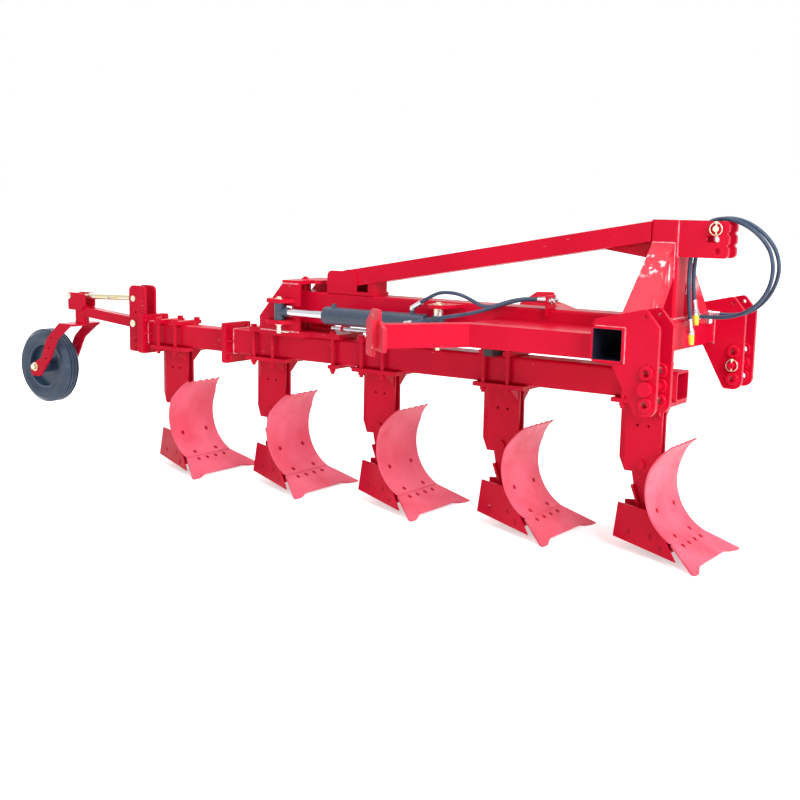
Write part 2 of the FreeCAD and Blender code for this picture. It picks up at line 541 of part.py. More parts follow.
def gather(name, *items):
    """Several separate solids of one sub-part."""
    item = doc.addObject("Part::Compound", name)
    item.Links = list(items)
    return item


def mirrored(name, item):
    """The same piece on the far side of the machine."""
    twin = doc.addObject("Part::Mirroring", name)
    twin.Source = item
    twin.Base = FreeCAD.Vector(0, 0, 0)
    twin.Normal = FreeCAD.Vector(0, 1, 0)
    return twin


def both(name, item):
    """A piece and its mirrored twin as one sub-part."""
    return gather(name, item, mirrored(name + "_twin", item))


def feature(name, shape):
    """A sub-part whose shape comes from curves worked out from the sizes."""
    item = doc.addObject("Part::Feature", name)
    item.Shape = shape
    return item


def rectangle(u0, u1, v0, v1, corner=None):
    """The four corners of a rectangle, rounded where a corner radius is given."""
    points = [(u0, v0), (u1, v0), (u1, v1), (u0, v1)]
    return [(u, v, corner) for u, v in points] if corner is not None else points


def tube_along_x(name, width, bottom, height, wall, corner, rear, front):
    """A rectangular tube along X, rounded outside and inside."""
    outer = rectangle(-width / 2, width / 2, bottom, bottom + height, corner)
    hollow = rectangle(-width / 2 + wall, width / 2 - wall, bottom + wall, bottom + height - wall, corner / 2)
    return plate(name, "YZ", outer, front - rear, (rear, 0, 0), inner=[hollow])


def beam_group():
    """The plough beam, its extension, their flanges and the stop block."""
    top = s.beam_bottom + s.beam_width
    beam = tube_along_x("beam_tube", s.beam_width, s.beam_bottom, s.beam_width, s.beam_wall, s.beam_corner,
                        s.beam_rear, s.beam_front)
    node("plough_beam", beam)
    split = s.beam_rear - s.main_flange_thickness * 2
    node("extension_beam", tube_along_x("extension_tube", s.extension_width, s.beam_bottom, s.extension_width,
                                        s.extension_wall, s.beam_corner, s.extension_rear, split))
    half = s.flange_width / 2
    shape = rectangle(-half, half, s.flange_bottom, s.flange_bottom + s.flange_height, s.flange_corner)
    side = half - s.flange_bolt_edge
    low = s.flange_bottom + s.flange_bolt_edge
    high = s.flange_bottom + s.flange_height - s.flange_bolt_edge
    corners = [(y, z) for y in (-side, side) for z in (low, high)]
    holes = [(y, z, s.flange_bolt_radius) for y, z in corners]
    flanges = []
    bolts = []
    joints = ((s.beam_rear, s.main_flange_thickness, "main"), (s.extension_rear, s.rear_flange_thickness, "rear"))
    for front, thick, name in joints:
        flanges.append(plate(name + "_flange_front", "YZ", shape, thick, (front - thick, 0, 0), holes))
        flanges.append(plate(name + "_flange_rear", "YZ", shape, thick, (front - thick * 2, 0, 0), holes))
        for count, (y, z) in enumerate(corners):
            tag = name + "_bolt_" + str(count)
            shank = rod(tag, "X", s.flange_bolt_radius, thick * 2, (front - thick * 2, y, z))
            head = hexagon(tag + "_head", "X", s.flange_head_radius, s.flange_head_height, (front, y, z))
            nut = hexagon(tag + "_nut", "X", s.flange_head_radius, s.flange_head_height,
                          (front - thick * 2 - s.flange_head_height, y, z))
            bolts.append(fuse(tag + "_set", shank, head, nut))
    ribs = []
    for front, width, name in ((s.beam_rear, s.beam_width, "main"), (s.extension_rear, s.extension_width, "rear")):
        middle = s.beam_bottom + width / 2
        shape_rib = [(0, width / 2), (s.flange_rib_length, width / 2), (0, width / 2 + s.flange_rib_width)]
        rib = plate(name + "_rib", "XY", shape_rib, s.flange_rib_thickness,
                    (front, 0, middle - s.flange_rib_thickness / 2))
        ribs.append(both(name + "_ribs", rib))
    node("beam_flanges", gather("flange_set", *flanges, *ribs, *bolts))
    rear = s.stop_block_front - s.stop_block_length
    rear_half = stop_half_width(rear)
    front_half = stop_half_width(s.stop_block_front)
    block = plate("stop_block_body", "XY",
                  [(rear, -rear_half), (s.stop_block_front, -front_half), (s.stop_block_front, front_half),
                   (rear, rear_half)], s.stop_block_top - top, (0, 0, top))
    node("stop_block", block)


def arm_run():
    """Run, side reach and length of the cranked end of a swing arm."""
    run = s.arm_bend_x - s.arm_end_x
    side = s.arm_end_y - s.arm_centre
    return run, side, Size(math.hypot(run.value, side.value), "sqrt(" + (run * run + side * side).text + ")")


def stop_half_width(x):
    """Half width of the stop block, so that its side lies on the stop plate when the swing ends."""
    run, side, length = arm_run()
    slant = bearing(run, side) - s.swing_limit
    from_pivot = (run * s.arm_end_x - side * s.arm_end_y) / length
    return (x * sine(slant) - from_pivot - s.stop_gap) / cosine(slant)


def fork_group():
    """The fork on the plough beam that holds the central beam on the pivot pin."""
    top = s.beam_bottom + s.beam_width
    deck = top + s.base_plate_thickness
    outer = s.fork_inner + s.fork_plate
    half = s.base_plate_width / 2
    base = plate("base_plate", "XY",
                 [(s.base_plate_rear, -half), (s.fork_rear - s.fork_plate * 2, -half), (s.fork_rear, -outer),
                  (s.fork_front, -outer), (s.fork_front + s.fork_plate * 2, -half), (s.base_plate_front, -half),
                  (s.base_plate_front, half), (s.fork_front + s.fork_plate * 2, half), (s.fork_front, outer),
                  (s.fork_rear, outer), (s.fork_rear - s.fork_plate * 2, half), (s.base_plate_rear, half)],
                 s.base_plate_thickness, (0, 0, top), holes=[(0, 0, s.pivot_radius)] + clamp_stud_holes())
    node("swing_base_plate", base)
    side = plate("fork_side", "XZ",
                 [(s.fork_front, deck), (s.fork_front, s.cylinder_height - s.rod_window_half),
                  (s.rod_window_rear, s.cylinder_height - s.rod_window_half),
                  (s.rod_window_rear, s.cylinder_height + s.rod_window_half),
                  (s.fork_front, s.cylinder_height + s.rod_window_half),
                  (s.fork_front, s.fork_top), (s.fork_top_rear, s.fork_top),
                  (s.fork_rear, s.fork_knee), (s.fork_rear, deck)],
                 s.fork_plate, (0, -outer, 0))
    tongue = s.fork_tongue_width / 2
    lid = plate("fork_lid", "XY",
                [(s.fork_top_rear, -outer), (s.fork_front, -outer), (s.fork_front, -tongue),
                 (s.fork_tongue_front, -tongue, s.fork_tongue_corner),
                 (s.fork_tongue_front, tongue, s.fork_tongue_corner), (s.fork_front, tongue),
                 (s.fork_front, outer), (s.fork_top_rear, outer)],
                s.fork_top_plate, (0, 0, s.fork_top), holes=[(0, 0, s.pivot_journal)])
    back = box("fork_back", s.fork_rib_thickness, s.fork_inner * 2, s.fork_knee - deck,
               (s.fork_rear, -s.fork_inner, deck))
    node("swing_fork", fuse("fork_set", side, mirrored("fork_side_twin", side), lid, back))
    bottom = s.beam_bottom - s.clamp_thickness
    strap = box("extra_strap", s.extra_strap_length, s.clamp_width, s.clamp_thickness,
                (s.extra_strap_x - s.extra_strap_length / 2, -s.clamp_width / 2, bottom))
    holes = [rod("extra_hole_" + tag, "Z", s.stud_radius, s.clamp_thickness + s.cut_overrun * 2,
                 (s.extra_strap_x, side_y, bottom - s.cut_overrun))
             for tag, side_y in (("near", -s.stud_side), ("far", s.stud_side))]
    studs = [stud_set("extra_stud_" + tag, s.extra_strap_x, side_y, bottom, deck)
             for tag, side_y in (("near", -s.stud_side), ("far", s.stud_side))]
    GROUPS["clamps"].extend([cut("extra_strap_bored", strap, *holes)] + studs)
    head = s.fork_top + s.fork_top_plate
    pin = turned("pivot_pin_body",
                 [(0, top + s.weld_gap), (s.pivot_radius - s.pin_clearance, top + s.weld_gap),
                  (s.pivot_radius - s.pin_clearance, s.fork_top), (s.pivot_journal, s.fork_top),
                  (s.pivot_journal, head + s.weld_gap), (s.pivot_head_radius, head + s.weld_gap),
                  (s.pivot_head_radius, head + s.pivot_head_height, s.clip_wire),
                  (s.nipple_radius, head + s.pivot_head_height),
                  (s.nipple_radius, head + s.pivot_head_height + s.nipple_height, s.clip_wire),
                  (0, head + s.pivot_head_height + s.nipple_height)], "Z", (0, 0, 0))
    node("pivot_pin", pin)


def clamp_stud_holes():
    """Holes in the swing base plate for the studs that pass up through it."""
    origin = body_place(1)
    places = [origin + s.strap_first_x + s.strap_length / 2, origin + s.strap_second_x + s.strap_length / 2,
              s.extra_strap_x]
    return [(x, y, s.stud_radius) for x in places for y in (-s.stud_side, s.stud_side)]


def stud_set(name, x, y, bottom, top):
    """A stud with a nut below and a hexagonal head above what it clamps."""
    shank = rod(name, "Z", s.stud_radius, top - bottom + s.stud_tail, (x, y, bottom - s.stud_tail))
    nut = hexagon(name + "_nut", "Z", s.nut_radius, s.nut_height, (x, y, bottom - s.nut_height))
    head = hexagon(name + "_head", "Z", s.nut_radius, s.nut_height, (x, y, top))
    return fuse(name + "_set", shank, nut, head)


def rod_lugs():
    """The two lugs on the fork between which the rod eye is pinned."""
    outer = s.fork_inner + s.fork_plate
    low = s.cylinder_height - s.eye_height / 2 - s.rod_lug_gap - s.rod_lug_plate
    high = s.cylinder_height + s.eye_height / 2 + s.rod_lug_gap
    tip = s.cylinder_offset + s.rod_lug_radius
    shape = [(s.rod_lug_rear, -outer), (s.rod_pin_x - s.rod_lug_radius * 2, -tip, s.rod_lug_radius),
             (s.rod_pin_x + s.rod_lug_radius, -tip, s.rod_lug_radius), (s.rod_lug_front, -outer)]
    holes = [(s.rod_pin_x, -s.cylinder_offset, s.cylinder_pin_radius)]
    lugs = [plate("rod_lug_" + tag, "XY", shape, s.rod_lug_plate, (0, 0, z), holes)
            for tag, z in (("low", low), ("high", high))]
    node("rod_lugs", gather("rod_lug_pair", *lugs))
    head = high + s.rod_lug_plate
    tail = low - s.rod_pin_tail
    pin = turned("rod_pin_body",
                 [(0, tail), (s.cylinder_pin_radius - s.pin_clearance - s.clip_wire, tail),
                  (s.cylinder_pin_radius - s.pin_clearance, tail + s.clip_wire),
                  (s.cylinder_pin_radius - s.pin_clearance, head), (s.washer_radius, head),
                  (s.washer_radius, head + s.washer_thickness), (s.cylinder_pin_radius, head + s.washer_thickness),
                  (s.cylinder_pin_radius, head + s.rod_pin_top_head), (0, head + s.rod_pin_top_head)], "Z",
                 (s.rod_pin_x, -s.cylinder_offset, 0))
    washer = turned("rod_pin_washer",
                    [(s.cylinder_pin_radius, low - s.washer_thickness), (s.washer_radius, low - s.washer_thickness),
                     (s.washer_radius, low), (s.cylinder_pin_radius, low)], "Z",
                    (s.rod_pin_x, -s.cylinder_offset, 0))
    clip = beta_clip(tail + s.rod_pin_tail / 4)
    node("rod_pin", gather("rod_pin_set", pin, washer, clip))


def beta_clip(height):
    """The spring clip through the tail of the rod pin: a straight leg, a ring and a waved leg."""
    reach = s.clip_reach.value
    wave = s.clip_ring.value / 2
    radius = s.cylinder_pin_radius.value
    inner = FreeCAD.Vector(-radius - wave, 0, 0)
    ring = s.clip_ring.value
    turn = Part.Arc(FreeCAD.Vector(reach, 0, 0), FreeCAD.Vector(reach + ring, -ring, 0),
                    FreeCAD.Vector(reach, -ring * 2, 0))
    waves = Part.Arc(FreeCAD.Vector(reach, -ring * 2, 0),
                     FreeCAD.Vector(reach * 3 / 4, -ring * 2 - wave / 2, 0),
                     FreeCAD.Vector(reach / 2, -ring * 2 + wave / 2, 0))
    path = Part.Wire([Part.LineSegment(inner, FreeCAD.Vector(reach, 0, 0)).toShape(), turn.toShape(),
                      waves.toShape()])
    circle = Part.Circle(inner, FreeCAD.Vector(1, 0, 0), s.clip_wire.value)
    shape = path.makePipeShell([Part.Wire([circle.toShape()])], True, False)
    item = feature("beta_clip", Part.makeSolid(shape) if shape.ShapeType != "Solid" else shape)
    item.Placement = FreeCAD.Placement(
        FreeCAD.Vector((PIVOT_X + s.rod_pin_x).value, -s.cylinder_offset.value, height.value),
        FreeCAD.Rotation(FreeCAD.Vector(0, 0, 1), 0))
    return item


def cylinder_group():
    """The hydraulic cylinder: barrel with its base eye and pin, rod with piston and eye."""
    y = -s.cylinder_offset
    z = s.cylinder_height
    bore = s.rod_radius + s.pin_clearance
    front = s.barrel_front
    length = s.barrel_rear - front
    profile = [(bore, 0), (s.barrel_radius - s.gland_lip, 0), (s.barrel_radius - s.gland_lip, s.gland_lip_length),
               (s.barrel_radius, s.gland_lip_length + s.gland_lip), (s.barrel_radius, length - s.gland_lip),
               (s.barrel_radius - s.gland_lip, length), (0, length), (0, length - s.barrel_floor),
               (s.barrel_bore, length - s.barrel_floor), (s.barrel_bore, s.gland_length), (bore, s.gland_length)]
    tube = turned("barrel_tube", profile, "X", (front, y, z))
    neck = rod("barrel_neck", "X", s.base_neck_radius, s.base_pin_x - s.barrel_rear, (s.barrel_rear, y, z))
    eye = rod("barrel_eye", "Z", s.base_eye_radius, s.eye_height, (s.base_pin_x, y, z - s.eye_height / 2))
    hole = rod("barrel_eye_hole", "Z", s.cylinder_pin_radius, s.eye_height + s.cut_overrun * 2,
               (s.base_pin_x, y, z - s.eye_height / 2 - s.cut_overrun))
    reach = s.barrel_radius + s.port_height
    ports = [rod("port_front", "Z", s.port_radius, reach, (s.port_front_x, y, z)),
             rod("port_rear", "Z", s.port_radius, reach, (s.port_rear_x, y, z)),
             rod("port_side", "Y", s.port_radius, reach, (s.port_rear_x, y - reach, z))]
    chamber = rod("barrel_chamber", "X", s.barrel_bore, length - s.gland_length - s.barrel_floor,
                  (front + s.gland_length, y, z))
    gland = rod("gland_bore", "X", bore, s.gland_length + s.cut_overrun, (front - s.cut_overrun, y, z))
    outside = fuse("barrel_outside", tube, neck, eye, *ports)
    node("cylinder_barrel", cut("barrel_bored", outside, hole, chamber, gland))
    top = s.base_lug_top
    low = s.base_lug_bottom
    spread = s.washer_radius + s.linkage_play
    pin = turned("base_pin_body",
                 [(0, low - s.rod_pin_tail / 2), (s.cylinder_pin_radius - s.pin_clearance, low - s.rod_pin_tail / 2),
                  (s.cylinder_pin_radius - s.pin_clearance, top + s.weld_gap), (spread, top + s.weld_gap),
                  (spread, top + s.weld_gap + s.washer_thickness),
                  (s.cylinder_pin_radius, top + s.weld_gap + s.washer_thickness),
                  (s.cylinder_pin_radius, top + s.rod_pin_top_head), (0, top + s.rod_pin_top_head)], "Z",
                 (s.base_pin_x, y, 0))
    gap_high = top - s.base_lug_plate - z - s.eye_height / 2 - s.weld_gap
    gap_low = z - s.eye_height / 2 - low - s.base_lug_plate - s.weld_gap
    collars = []
    for tag, start, height in (("high", z + s.eye_height / 2, gap_high),
                               ("low", z - s.eye_height / 2 - gap_low, gap_low)):
        ring = rod("collar_" + tag, "Z", s.washer_radius, height, (s.base_pin_x, y, start))
        core = rod("collar_hole_" + tag, "Z", s.cylinder_pin_radius, height + s.cut_overrun * 2,
                   (s.base_pin_x, y, start - s.cut_overrun))
        collars.append(cut("collar_ring_" + tag, ring, core))
    node("cylinder_base_pin", gather("base_pin_set", pin, *collars))
    bar_start = s.rod_pin_x + s.eye_neck_length
    bar_end = front + s.gland_length + s.piston_from_gland
    bar = rod("rod_bar", "X", s.rod_radius, bar_end - bar_start, (bar_start, y, z))
    piston = rod("piston", "X", s.barrel_bore - s.pin_clearance, s.piston_length, (bar_end - s.piston_length, y, z))
    taper = turned("rod_neck", [(0, 0), (s.eye_neck_radius, 0), (s.eye_neck_radius, s.eye_neck_length - s.gland_lip * 2),
                                (s.rod_radius + s.gland_lip, s.eye_neck_length), (0, s.eye_neck_length)], "X",
                   (s.rod_pin_x, y, z))
    boss = rod("rod_boss", "Z", s.eye_radius, s.eye_height, (s.rod_pin_x, y, z - s.eye_height / 2))
    boss_hole = rod("rod_boss_hole", "Z", s.cylinder_pin_radius, s.eye_height + s.cut_overrun * 2,
                    (s.rod_pin_x, y, z - s.eye_height / 2 - s.cut_overrun))
    node("rod_eye", cut("rod_eye_bored", fuse("rod_eye_solid", taper, boss), boss_hole))
    node("piston_rod", fuse("piston_rod_solid", bar, piston))
    lugs = []
    face = s.spine_width / 2
    tip = s.cylinder_offset + s.base_lug_radius
    corner = s.base_lug_radius * s.corner_share
    shape = [(s.base_lug_rear, -face), (s.base_pin_x - s.base_lug_radius, -tip, corner),
             (s.base_pin_x + s.base_lug_radius, -tip, corner), (s.base_lug_front, -face)]
    half = s.cylinder_pin_radius + s.linkage_play
    slot = rectangle(s.base_pin_x - half, s.base_pin_x + half, -s.cylinder_offset - half,
                     -s.cylinder_offset + s.linkage_slot + half, half * s.corner_share)
    for tag, start in (("low", low), ("high", top - s.base_lug_plate)):
        lugs.append(plate("base_lug_" + tag, "XY", shape, s.base_lug_plate, (0, 0, start), inner=[slot]))
    node("cylinder_base_lugs", gather("base_lug_pair", *lugs))


def spine_group():
    """The central beam with its pivot sleeve, and the stay rod below it."""
    rear_face = s.cross_x - s.cross_size / 2
    tube = tube_along_x("spine_tube", s.spine_width, s.spine_bottom, s.spine_height, s.spine_wall, s.spine_corner,
                        s.spine_start, rear_face)
    bore = s.pivot_radius
    radius = s.spine_width / 2
    core = rod("hub_space", "Z", radius - s.spine_wall / 2, s.spine_height + s.cut_overrun * 2,
               (0, 0, s.spine_bottom - s.cut_overrun))
    hub = rod("hub", "Z", radius, s.spine_height, (0, 0, s.spine_bottom))
    hole = rod("hub_bore", "Z", bore, s.spine_height + s.cut_overrun * 2, (0, 0, s.spine_bottom - s.cut_overrun))
    spine = cut("spine_bored", fuse("spine_with_hub", cut("spine_cleared", tube, core), hub), hole)
    bar = rod("stay_rod_bar", "X", s.stay_rod_radius, s.stay_rod_front_x - s.stay_rod_rear_x,
              (s.stay_rod_rear_x, -s.stay_rod_side, s.stay_rod_z))
    node("stay_rod", bar)
    lugs = []
    places = (("rear", s.stay_rod_rear_x + s.stay_rod_lug_place), ("front", s.stay_rod_front_x - s.stay_rod_lug_place))
    for tag, x in places:
        reach = s.stay_rod_side + s.stay_rod_lug_radius
        inner = s.spine_width / 2 - s.stay_rod_lug_width
        lug = plate("stay_rod_lug_" + tag, "YZ",
                    [(-reach, s.stay_rod_z - s.stay_rod_lug_radius, s.stay_rod_lug),
                     (-inner, s.stay_rod_z - s.stay_rod_lug_radius), (-inner, s.spine_bottom),
                     (-s.spine_width / 2, s.spine_bottom),
                     (-s.spine_width / 2, s.stay_rod_z + s.stay_rod_lug_radius),
                     (-reach, s.stay_rod_z + s.stay_rod_lug_radius, s.stay_rod_lug)], s.stay_rod_lug,
                    (x, 0, 0), holes=[(-s.stay_rod_side, s.stay_rod_z, s.stay_rod_radius)])
        lugs.append(lug)
    rear = bracket_rear()
    bracket = box("hose_bracket", s.hose_bracket_plate, s.hose_bracket_outer - s.hose_bracket_inner,
                  s.hose_bracket_height, (rear, -s.hose_bracket_outer, s.spine_top))
    foot = box("hose_bracket_foot", s.hose_bracket_plate, s.hose_bracket_outer - s.spine_width / 2,
               s.hose_bracket_plate * 4, (rear, -s.hose_bracket_outer,
                                          s.spine_top - s.hose_bracket_plate * 4))
    node("central_beam", fuse("central_beam_set", spine, *lugs, bracket, foot, *web_plates()))


def headstock_group():
    """Cross tube, mast, braces, lower link brackets and top link plates."""
    half = s.cross_size / 2
    length = s.cross_half_length * 2
    outer = rectangle(-half, half, -half, half, s.cross_corner)
    hollow = rectangle(-half + s.cross_wall, half - s.cross_wall, -half + s.cross_wall, half - s.cross_wall,
                       s.cross_corner / 2)
    tube = plate("cross_square", "XZ", outer, length, (s.cross_x, -s.cross_half_length, s.cross_z), inner=[hollow])
    node("cross_tube", tube)
    top = s.cross_z + half
    size = s.mast_size / 2
    column = plate("mast_tube", "XY", rectangle(-size, size, -size, size, s.mast_corner), s.mast_top - top,
                   (s.cross_x, 0, top),
                   inner=[rectangle(-size + s.mast_wall, size - s.mast_wall, -size + s.mast_wall,
                                    size - s.mast_wall, s.mast_corner / 2)])
    cap = box("mast_cap", s.mast_size - s.mast_wall, s.mast_size - s.mast_wall, s.mast_cap,
              (s.cross_x - size + s.mast_wall / 2, -size + s.mast_wall / 2, s.mast_top - s.mast_cap))
    node("mast", fuse("mast_capped", column, cap))
    foot = s.brace_foot_inner
    shape = [(-size, s.brace_top), (-s.brace_foot_outer, top), (-foot, top), (-size, s.brace_inner_top)]
    run = s.brace_foot_outer - size
    rise = s.brace_top - top
    slant = Size(math.hypot(run.value, rise.value) / run.value, "(sqrt(" + (run * run + rise * rise).text + ") / "
                 + run.text + ")")
    drop = s.brace_wall * slant
    lean = (s.brace_inner_top - top) / (foot - size)
    inner_top = s.brace_top - drop
    inner_low = s.brace_inner_top + drop
    slope = rise / run
    hollow = [(-size - s.brace_wall, inner_top - slope * s.brace_wall), (-s.brace_foot_outer + drop / slope, top + s.brace_wall),
              (-foot - drop / lean, top + s.brace_wall), (-size - s.brace_wall, inner_low - lean * s.brace_wall)]
    brace = plate("brace", "YZ", shape, s.brace_depth, (s.cross_x - s.brace_depth / 2, 0, 0))
    space = plate("brace_space", "YZ", hollow, s.brace_depth - s.brace_wall * 2,
                  (s.cross_x - s.brace_depth / 2 + s.brace_wall, 0, 0))
    node("mast_braces", both("brace_pair", cut("brace_hollow", brace, space)))
    link_brackets()
    top_link()


def link_brackets():
    """Lower link brackets on the ends of the cross tube, with their bushes and pins."""
    half = s.cross_size / 2
    shape = [(s.link_rear_top_x, s.link_rear_top_z), (s.link_front_top_x, s.link_front_top_z, s.link_top_corner),
             (s.link_chamfer_x, s.link_chamfer_z, s.link_top_corner),
             (s.link_chamfer_x, s.link_foot_z, s.link_foot_corner),
             (s.link_foot_rear_x, s.link_foot_z, s.link_foot_corner / 2), (s.link_heel_x, s.link_heel_z),
             (s.cross_x - half, s.cross_z - half - s.linch_wire),
             (s.cross_x - half, s.link_rear_top_z - s.link_top_corner)]
    heights = [s.link_axis_z - s.link_pitch, s.link_axis_z, s.link_axis_z + s.link_pitch]
    holes = [(s.link_axis_x, z, s.boss_radius) for z in heights]
    holes.append((s.link_small_hole_x, s.link_small_hole_z, s.link_small_hole))
    outer_face = s.link_centre + s.link_gap / 2 + s.link_plate
    inner_face = s.link_centre - s.link_gap / 2 - s.link_plate
    window = box("tube_window", s.cross_size + s.cut_overrun, outer_face * 2 + s.cut_overrun, s.cross_size,
                 (s.cross_x - half - s.cut_overrun, -outer_face - s.cut_overrun, s.cross_z - half))
    plates = []
    for tag, face in (("outer", outer_face), ("inner", inner_face + s.link_plate)):
        sheet = plate("link_plate_" + tag, "XZ", shape, s.link_plate, (0, -face, 0), holes)
        trimmed = cut("link_trim_" + tag, sheet, window)
        bushes = []
        for count, z in enumerate(heights):
            bush = turned("link_bush_" + tag + str(count),
                          [(s.link_bore, 0), (s.boss_radius - s.linch_wire, 0), (s.boss_radius, s.linch_wire),
                           (s.boss_radius, s.link_plate + s.boss_proud * 2 - s.linch_wire),
                           (s.boss_radius - s.linch_wire, s.link_plate + s.boss_proud * 2),
                           (s.link_bore, s.link_plate + s.boss_proud * 2)], "Y",
                          (s.link_axis_x, -face - s.boss_proud, z))
            bushes.append(bush)
        plates.append(fuse("link_side_" + tag, trimmed, *bushes))
    near = gather("link_bracket_set", *plates)
    node("lower_link_brackets", both("link_bracket_pair", near))
    head = outer_face + s.boss_proud
    tail = inner_face - s.boss_proud
    total = head - tail + s.link_head_height + s.link_pin_tail
    pin = turned("link_pin",
                 [(0, 0), (s.link_head_radius - s.linch_wire, 0), (s.link_head_radius, s.linch_wire),
                  (s.link_head_radius, s.link_head_height), (s.link_pin_radius, s.link_head_height),
                  (s.link_pin_radius, total - s.linch_wire), (s.link_pin_radius - s.linch_wire, total), (0, total)],
                 "Y", (s.link_axis_x, -head - s.link_head_height, s.link_axis_z))
    ring_place = tail - s.link_pin_tail / 2
    bored = cut("link_pin_bored", pin, linch_hole("link", s.link_axis_x, -ring_place, s.link_axis_z))
    node("lower_link_pins", both("link_pin_pair", bored))
    ring = linch_pin("link_linch", s.link_axis_x, -ring_place, s.link_axis_z, s.link_pin_radius)
    reach = s.top_plate_inner + s.top_plate_thickness + s.top_pin_tail / 2
    top_ring = linch_pin("top_linch", s.top_hole_x, -reach, s.top_hole_z, s.top_pin_radius)
    node("linch_pins", gather("linch_set", ring, mirrored("link_linch_twin", ring), top_ring))


def linch_hole(name, x, y, z):
    """The upright cross hole for a linch pin."""
    return rod(name + "_cross_hole", "Z", s.linch_pin_radius, s.linch_pin_length * 2,
               (x, y, z - s.linch_pin_length))


def linch_pin(name, x, y, z, radius):
    """A linch pin: an upright peg with its head and the snap ring round the end of the big pin."""
    peg = rod(name + "_peg", "Z", s.linch_pin_radius, s.linch_pin_length, (x, y, z - s.linch_pin_length / 2))
    head = rod(name + "_head", "Z", s.linch_pin_radius * 2, s.linch_pin_radius * 2,
               (x, y, z + s.linch_pin_length / 2))
    ring = doc.addObject("Part::Torus", name + "_ring")
    bind(ring, "Radius1", s.linch_ring_radius)
    bind(ring, "Radius2", s.linch_wire)
    place(ring, (x, y - s.linch_pin_radius, z), TURN["Y"])
    return fuse(name + "_set", peg, head, ring)


def top_link():
    """The two top link plates on the mast with their pin."""
    back = s.cross_x + s.mast_size / 2
    front = s.top_plate_front
    shape = [(back, s.top_plate_bottom), (front, s.top_plate_bottom, s.top_plate_corner)]
    for count in (1, 0):
        valley = s.lobe_first - s.lobe_pitch * count - s.lobe_pitch / 2
        shape.append((front, valley - s.lobe_pitch / 2 + s.lobe_half, s.lobe_corner))
        shape.append((s.top_plate_valley, valley, s.valley_corner))
        shape.append((front, valley + s.lobe_pitch / 2 - s.lobe_half, s.lobe_corner))
    shape += [(front, s.mast_top, s.top_plate_corner), (back, s.mast_top)]
    slot = rectangle(s.top_slot_x - s.top_slot_length / 2, s.top_slot_x + s.top_slot_length / 2,
                     s.top_slot_z - s.top_slot_height / 2, s.top_slot_z + s.top_slot_height / 2,
                     s.top_slot_height * s.slot_round_share)
    holes =[(s.top_hole_x, s.top_hole_z, s.top_hole), (s.top_low_hole_x, s.top_low_hole_z, s.top_hole)]
    outer = s.top_plate_inner + s.top_plate_thickness
    side = plate("top_link_plate", "XZ", shape, s.top_plate_thickness, (0, -outer, 0), holes, [slot])
    node("top_link_plates", both("top_link_pair", side))
    total = outer * 2 + s.top_pin_tail + s.top_pin_head_height
    pin = turned("top_pin",
                 [(0, 0), (s.top_pin_radius - s.linch_wire, 0), (s.top_pin_radius, s.linch_wire),
                  (s.top_pin_radius, total - s.top_pin_head_height), (s.top_pin_head_radius, total - s.top_pin_head_height),
                  (s.top_pin_head_radius, total), (0, total)], "Y",
                 (s.top_hole_x, -outer - s.top_pin_tail, s.top_hole_z))
    ring_place = outer + s.top_pin_tail / 2
    node("top_link_pin", cut("top_pin_bored", pin, linch_hole("top", s.top_hole_x, -ring_place, s.top_hole_z)))


def backstay_group():
    """The backstay from the mast to the central beam, with its bracket and gusset."""
    top = s.spine_bottom + s.spine_height
    floor = top + s.stay_base_thickness
    end_x = s.cross_x - s.mast_size / 2
    slope = (s.stay_front_top - s.stay_rear_top) / (end_x - s.stay_rear_x)
    shape = [(s.stay_rear_x, s.stay_rear_top - s.stay_depth), (end_x, s.stay_front_top - s.stay_depth),
             (end_x, s.stay_front_top), (s.stay_rear_x, s.stay_rear_top)]
    wall = s.stay_wall
    hollow = [(s.stay_rear_x - s.cut_overrun, s.stay_rear_top - s.stay_depth + wall - slope * s.cut_overrun),
              (end_x + s.cut_overrun, s.stay_front_top - s.stay_depth + wall + slope * s.cut_overrun),
              (end_x + s.cut_overrun, s.stay_front_top - wall + slope * s.cut_overrun),
              (s.stay_rear_x - s.cut_overrun, s.stay_rear_top - wall - slope * s.cut_overrun)]
    half = s.stay_width / 2
    bar = plate("stay_bar", "XZ", shape, s.stay_width, (0, -half, 0))
    space = plate("stay_space", "XZ", hollow, s.stay_width - wall * 2, (0, -half + wall, 0))
    outer = half + s.stay_bracket_plate
    cheek = plate("stay_cheek", "XZ",
                  [(s.stay_bracket_rear, floor), (s.stay_bracket_front, floor),
                   (s.stay_bracket_front, s.stay_bracket_top, s.stay_bracket_corner),
                   (s.stay_bracket_rear, s.stay_bracket_top, s.stay_bracket_corner)],
                  s.stay_bracket_plate, (0, -outer, 0))
    base = box("stay_base", s.stay_base_front - s.stay_bracket_rear, outer * 2, s.stay_base_thickness,
               (s.stay_bracket_rear, -outer, top))
    foot_x = s.stay_base_front - s.stay_foot_length
    foot_rise = s.stay_rear_top - s.stay_depth - floor + slope * (foot_x - s.stay_rear_x)
    foot = plate("stay_foot", "XZ",
                 [(foot_x, floor), (s.stay_base_front, floor),
                  (s.stay_base_front, floor + foot_rise + slope * s.stay_foot_length), (foot_x, floor + foot_rise)],
                 s.stay_width * s.corner_share, (0, -s.stay_width * s.corner_share / 2, 0))
    node("backstay_bracket", fuse("stay_bracket_set", base, cheek, mirrored("stay_cheek_twin", cheek), foot))
    under = s.stay_front_top - s.stay_depth
    gusset = plate("stay_gusset_plate", "XZ",
                   [(end_x - s.stay_gusset_length, under - slope * s.stay_gusset_length),
                    (end_x, under - s.stay_gusset_drop), (end_x, under)],
                   s.stay_gusset_plate, (0, -s.stay_gusset_plate / 2, 0))
    node("backstay", fuse("stay_with_gusset", cut("stay_hollow", bar, space), gusset))


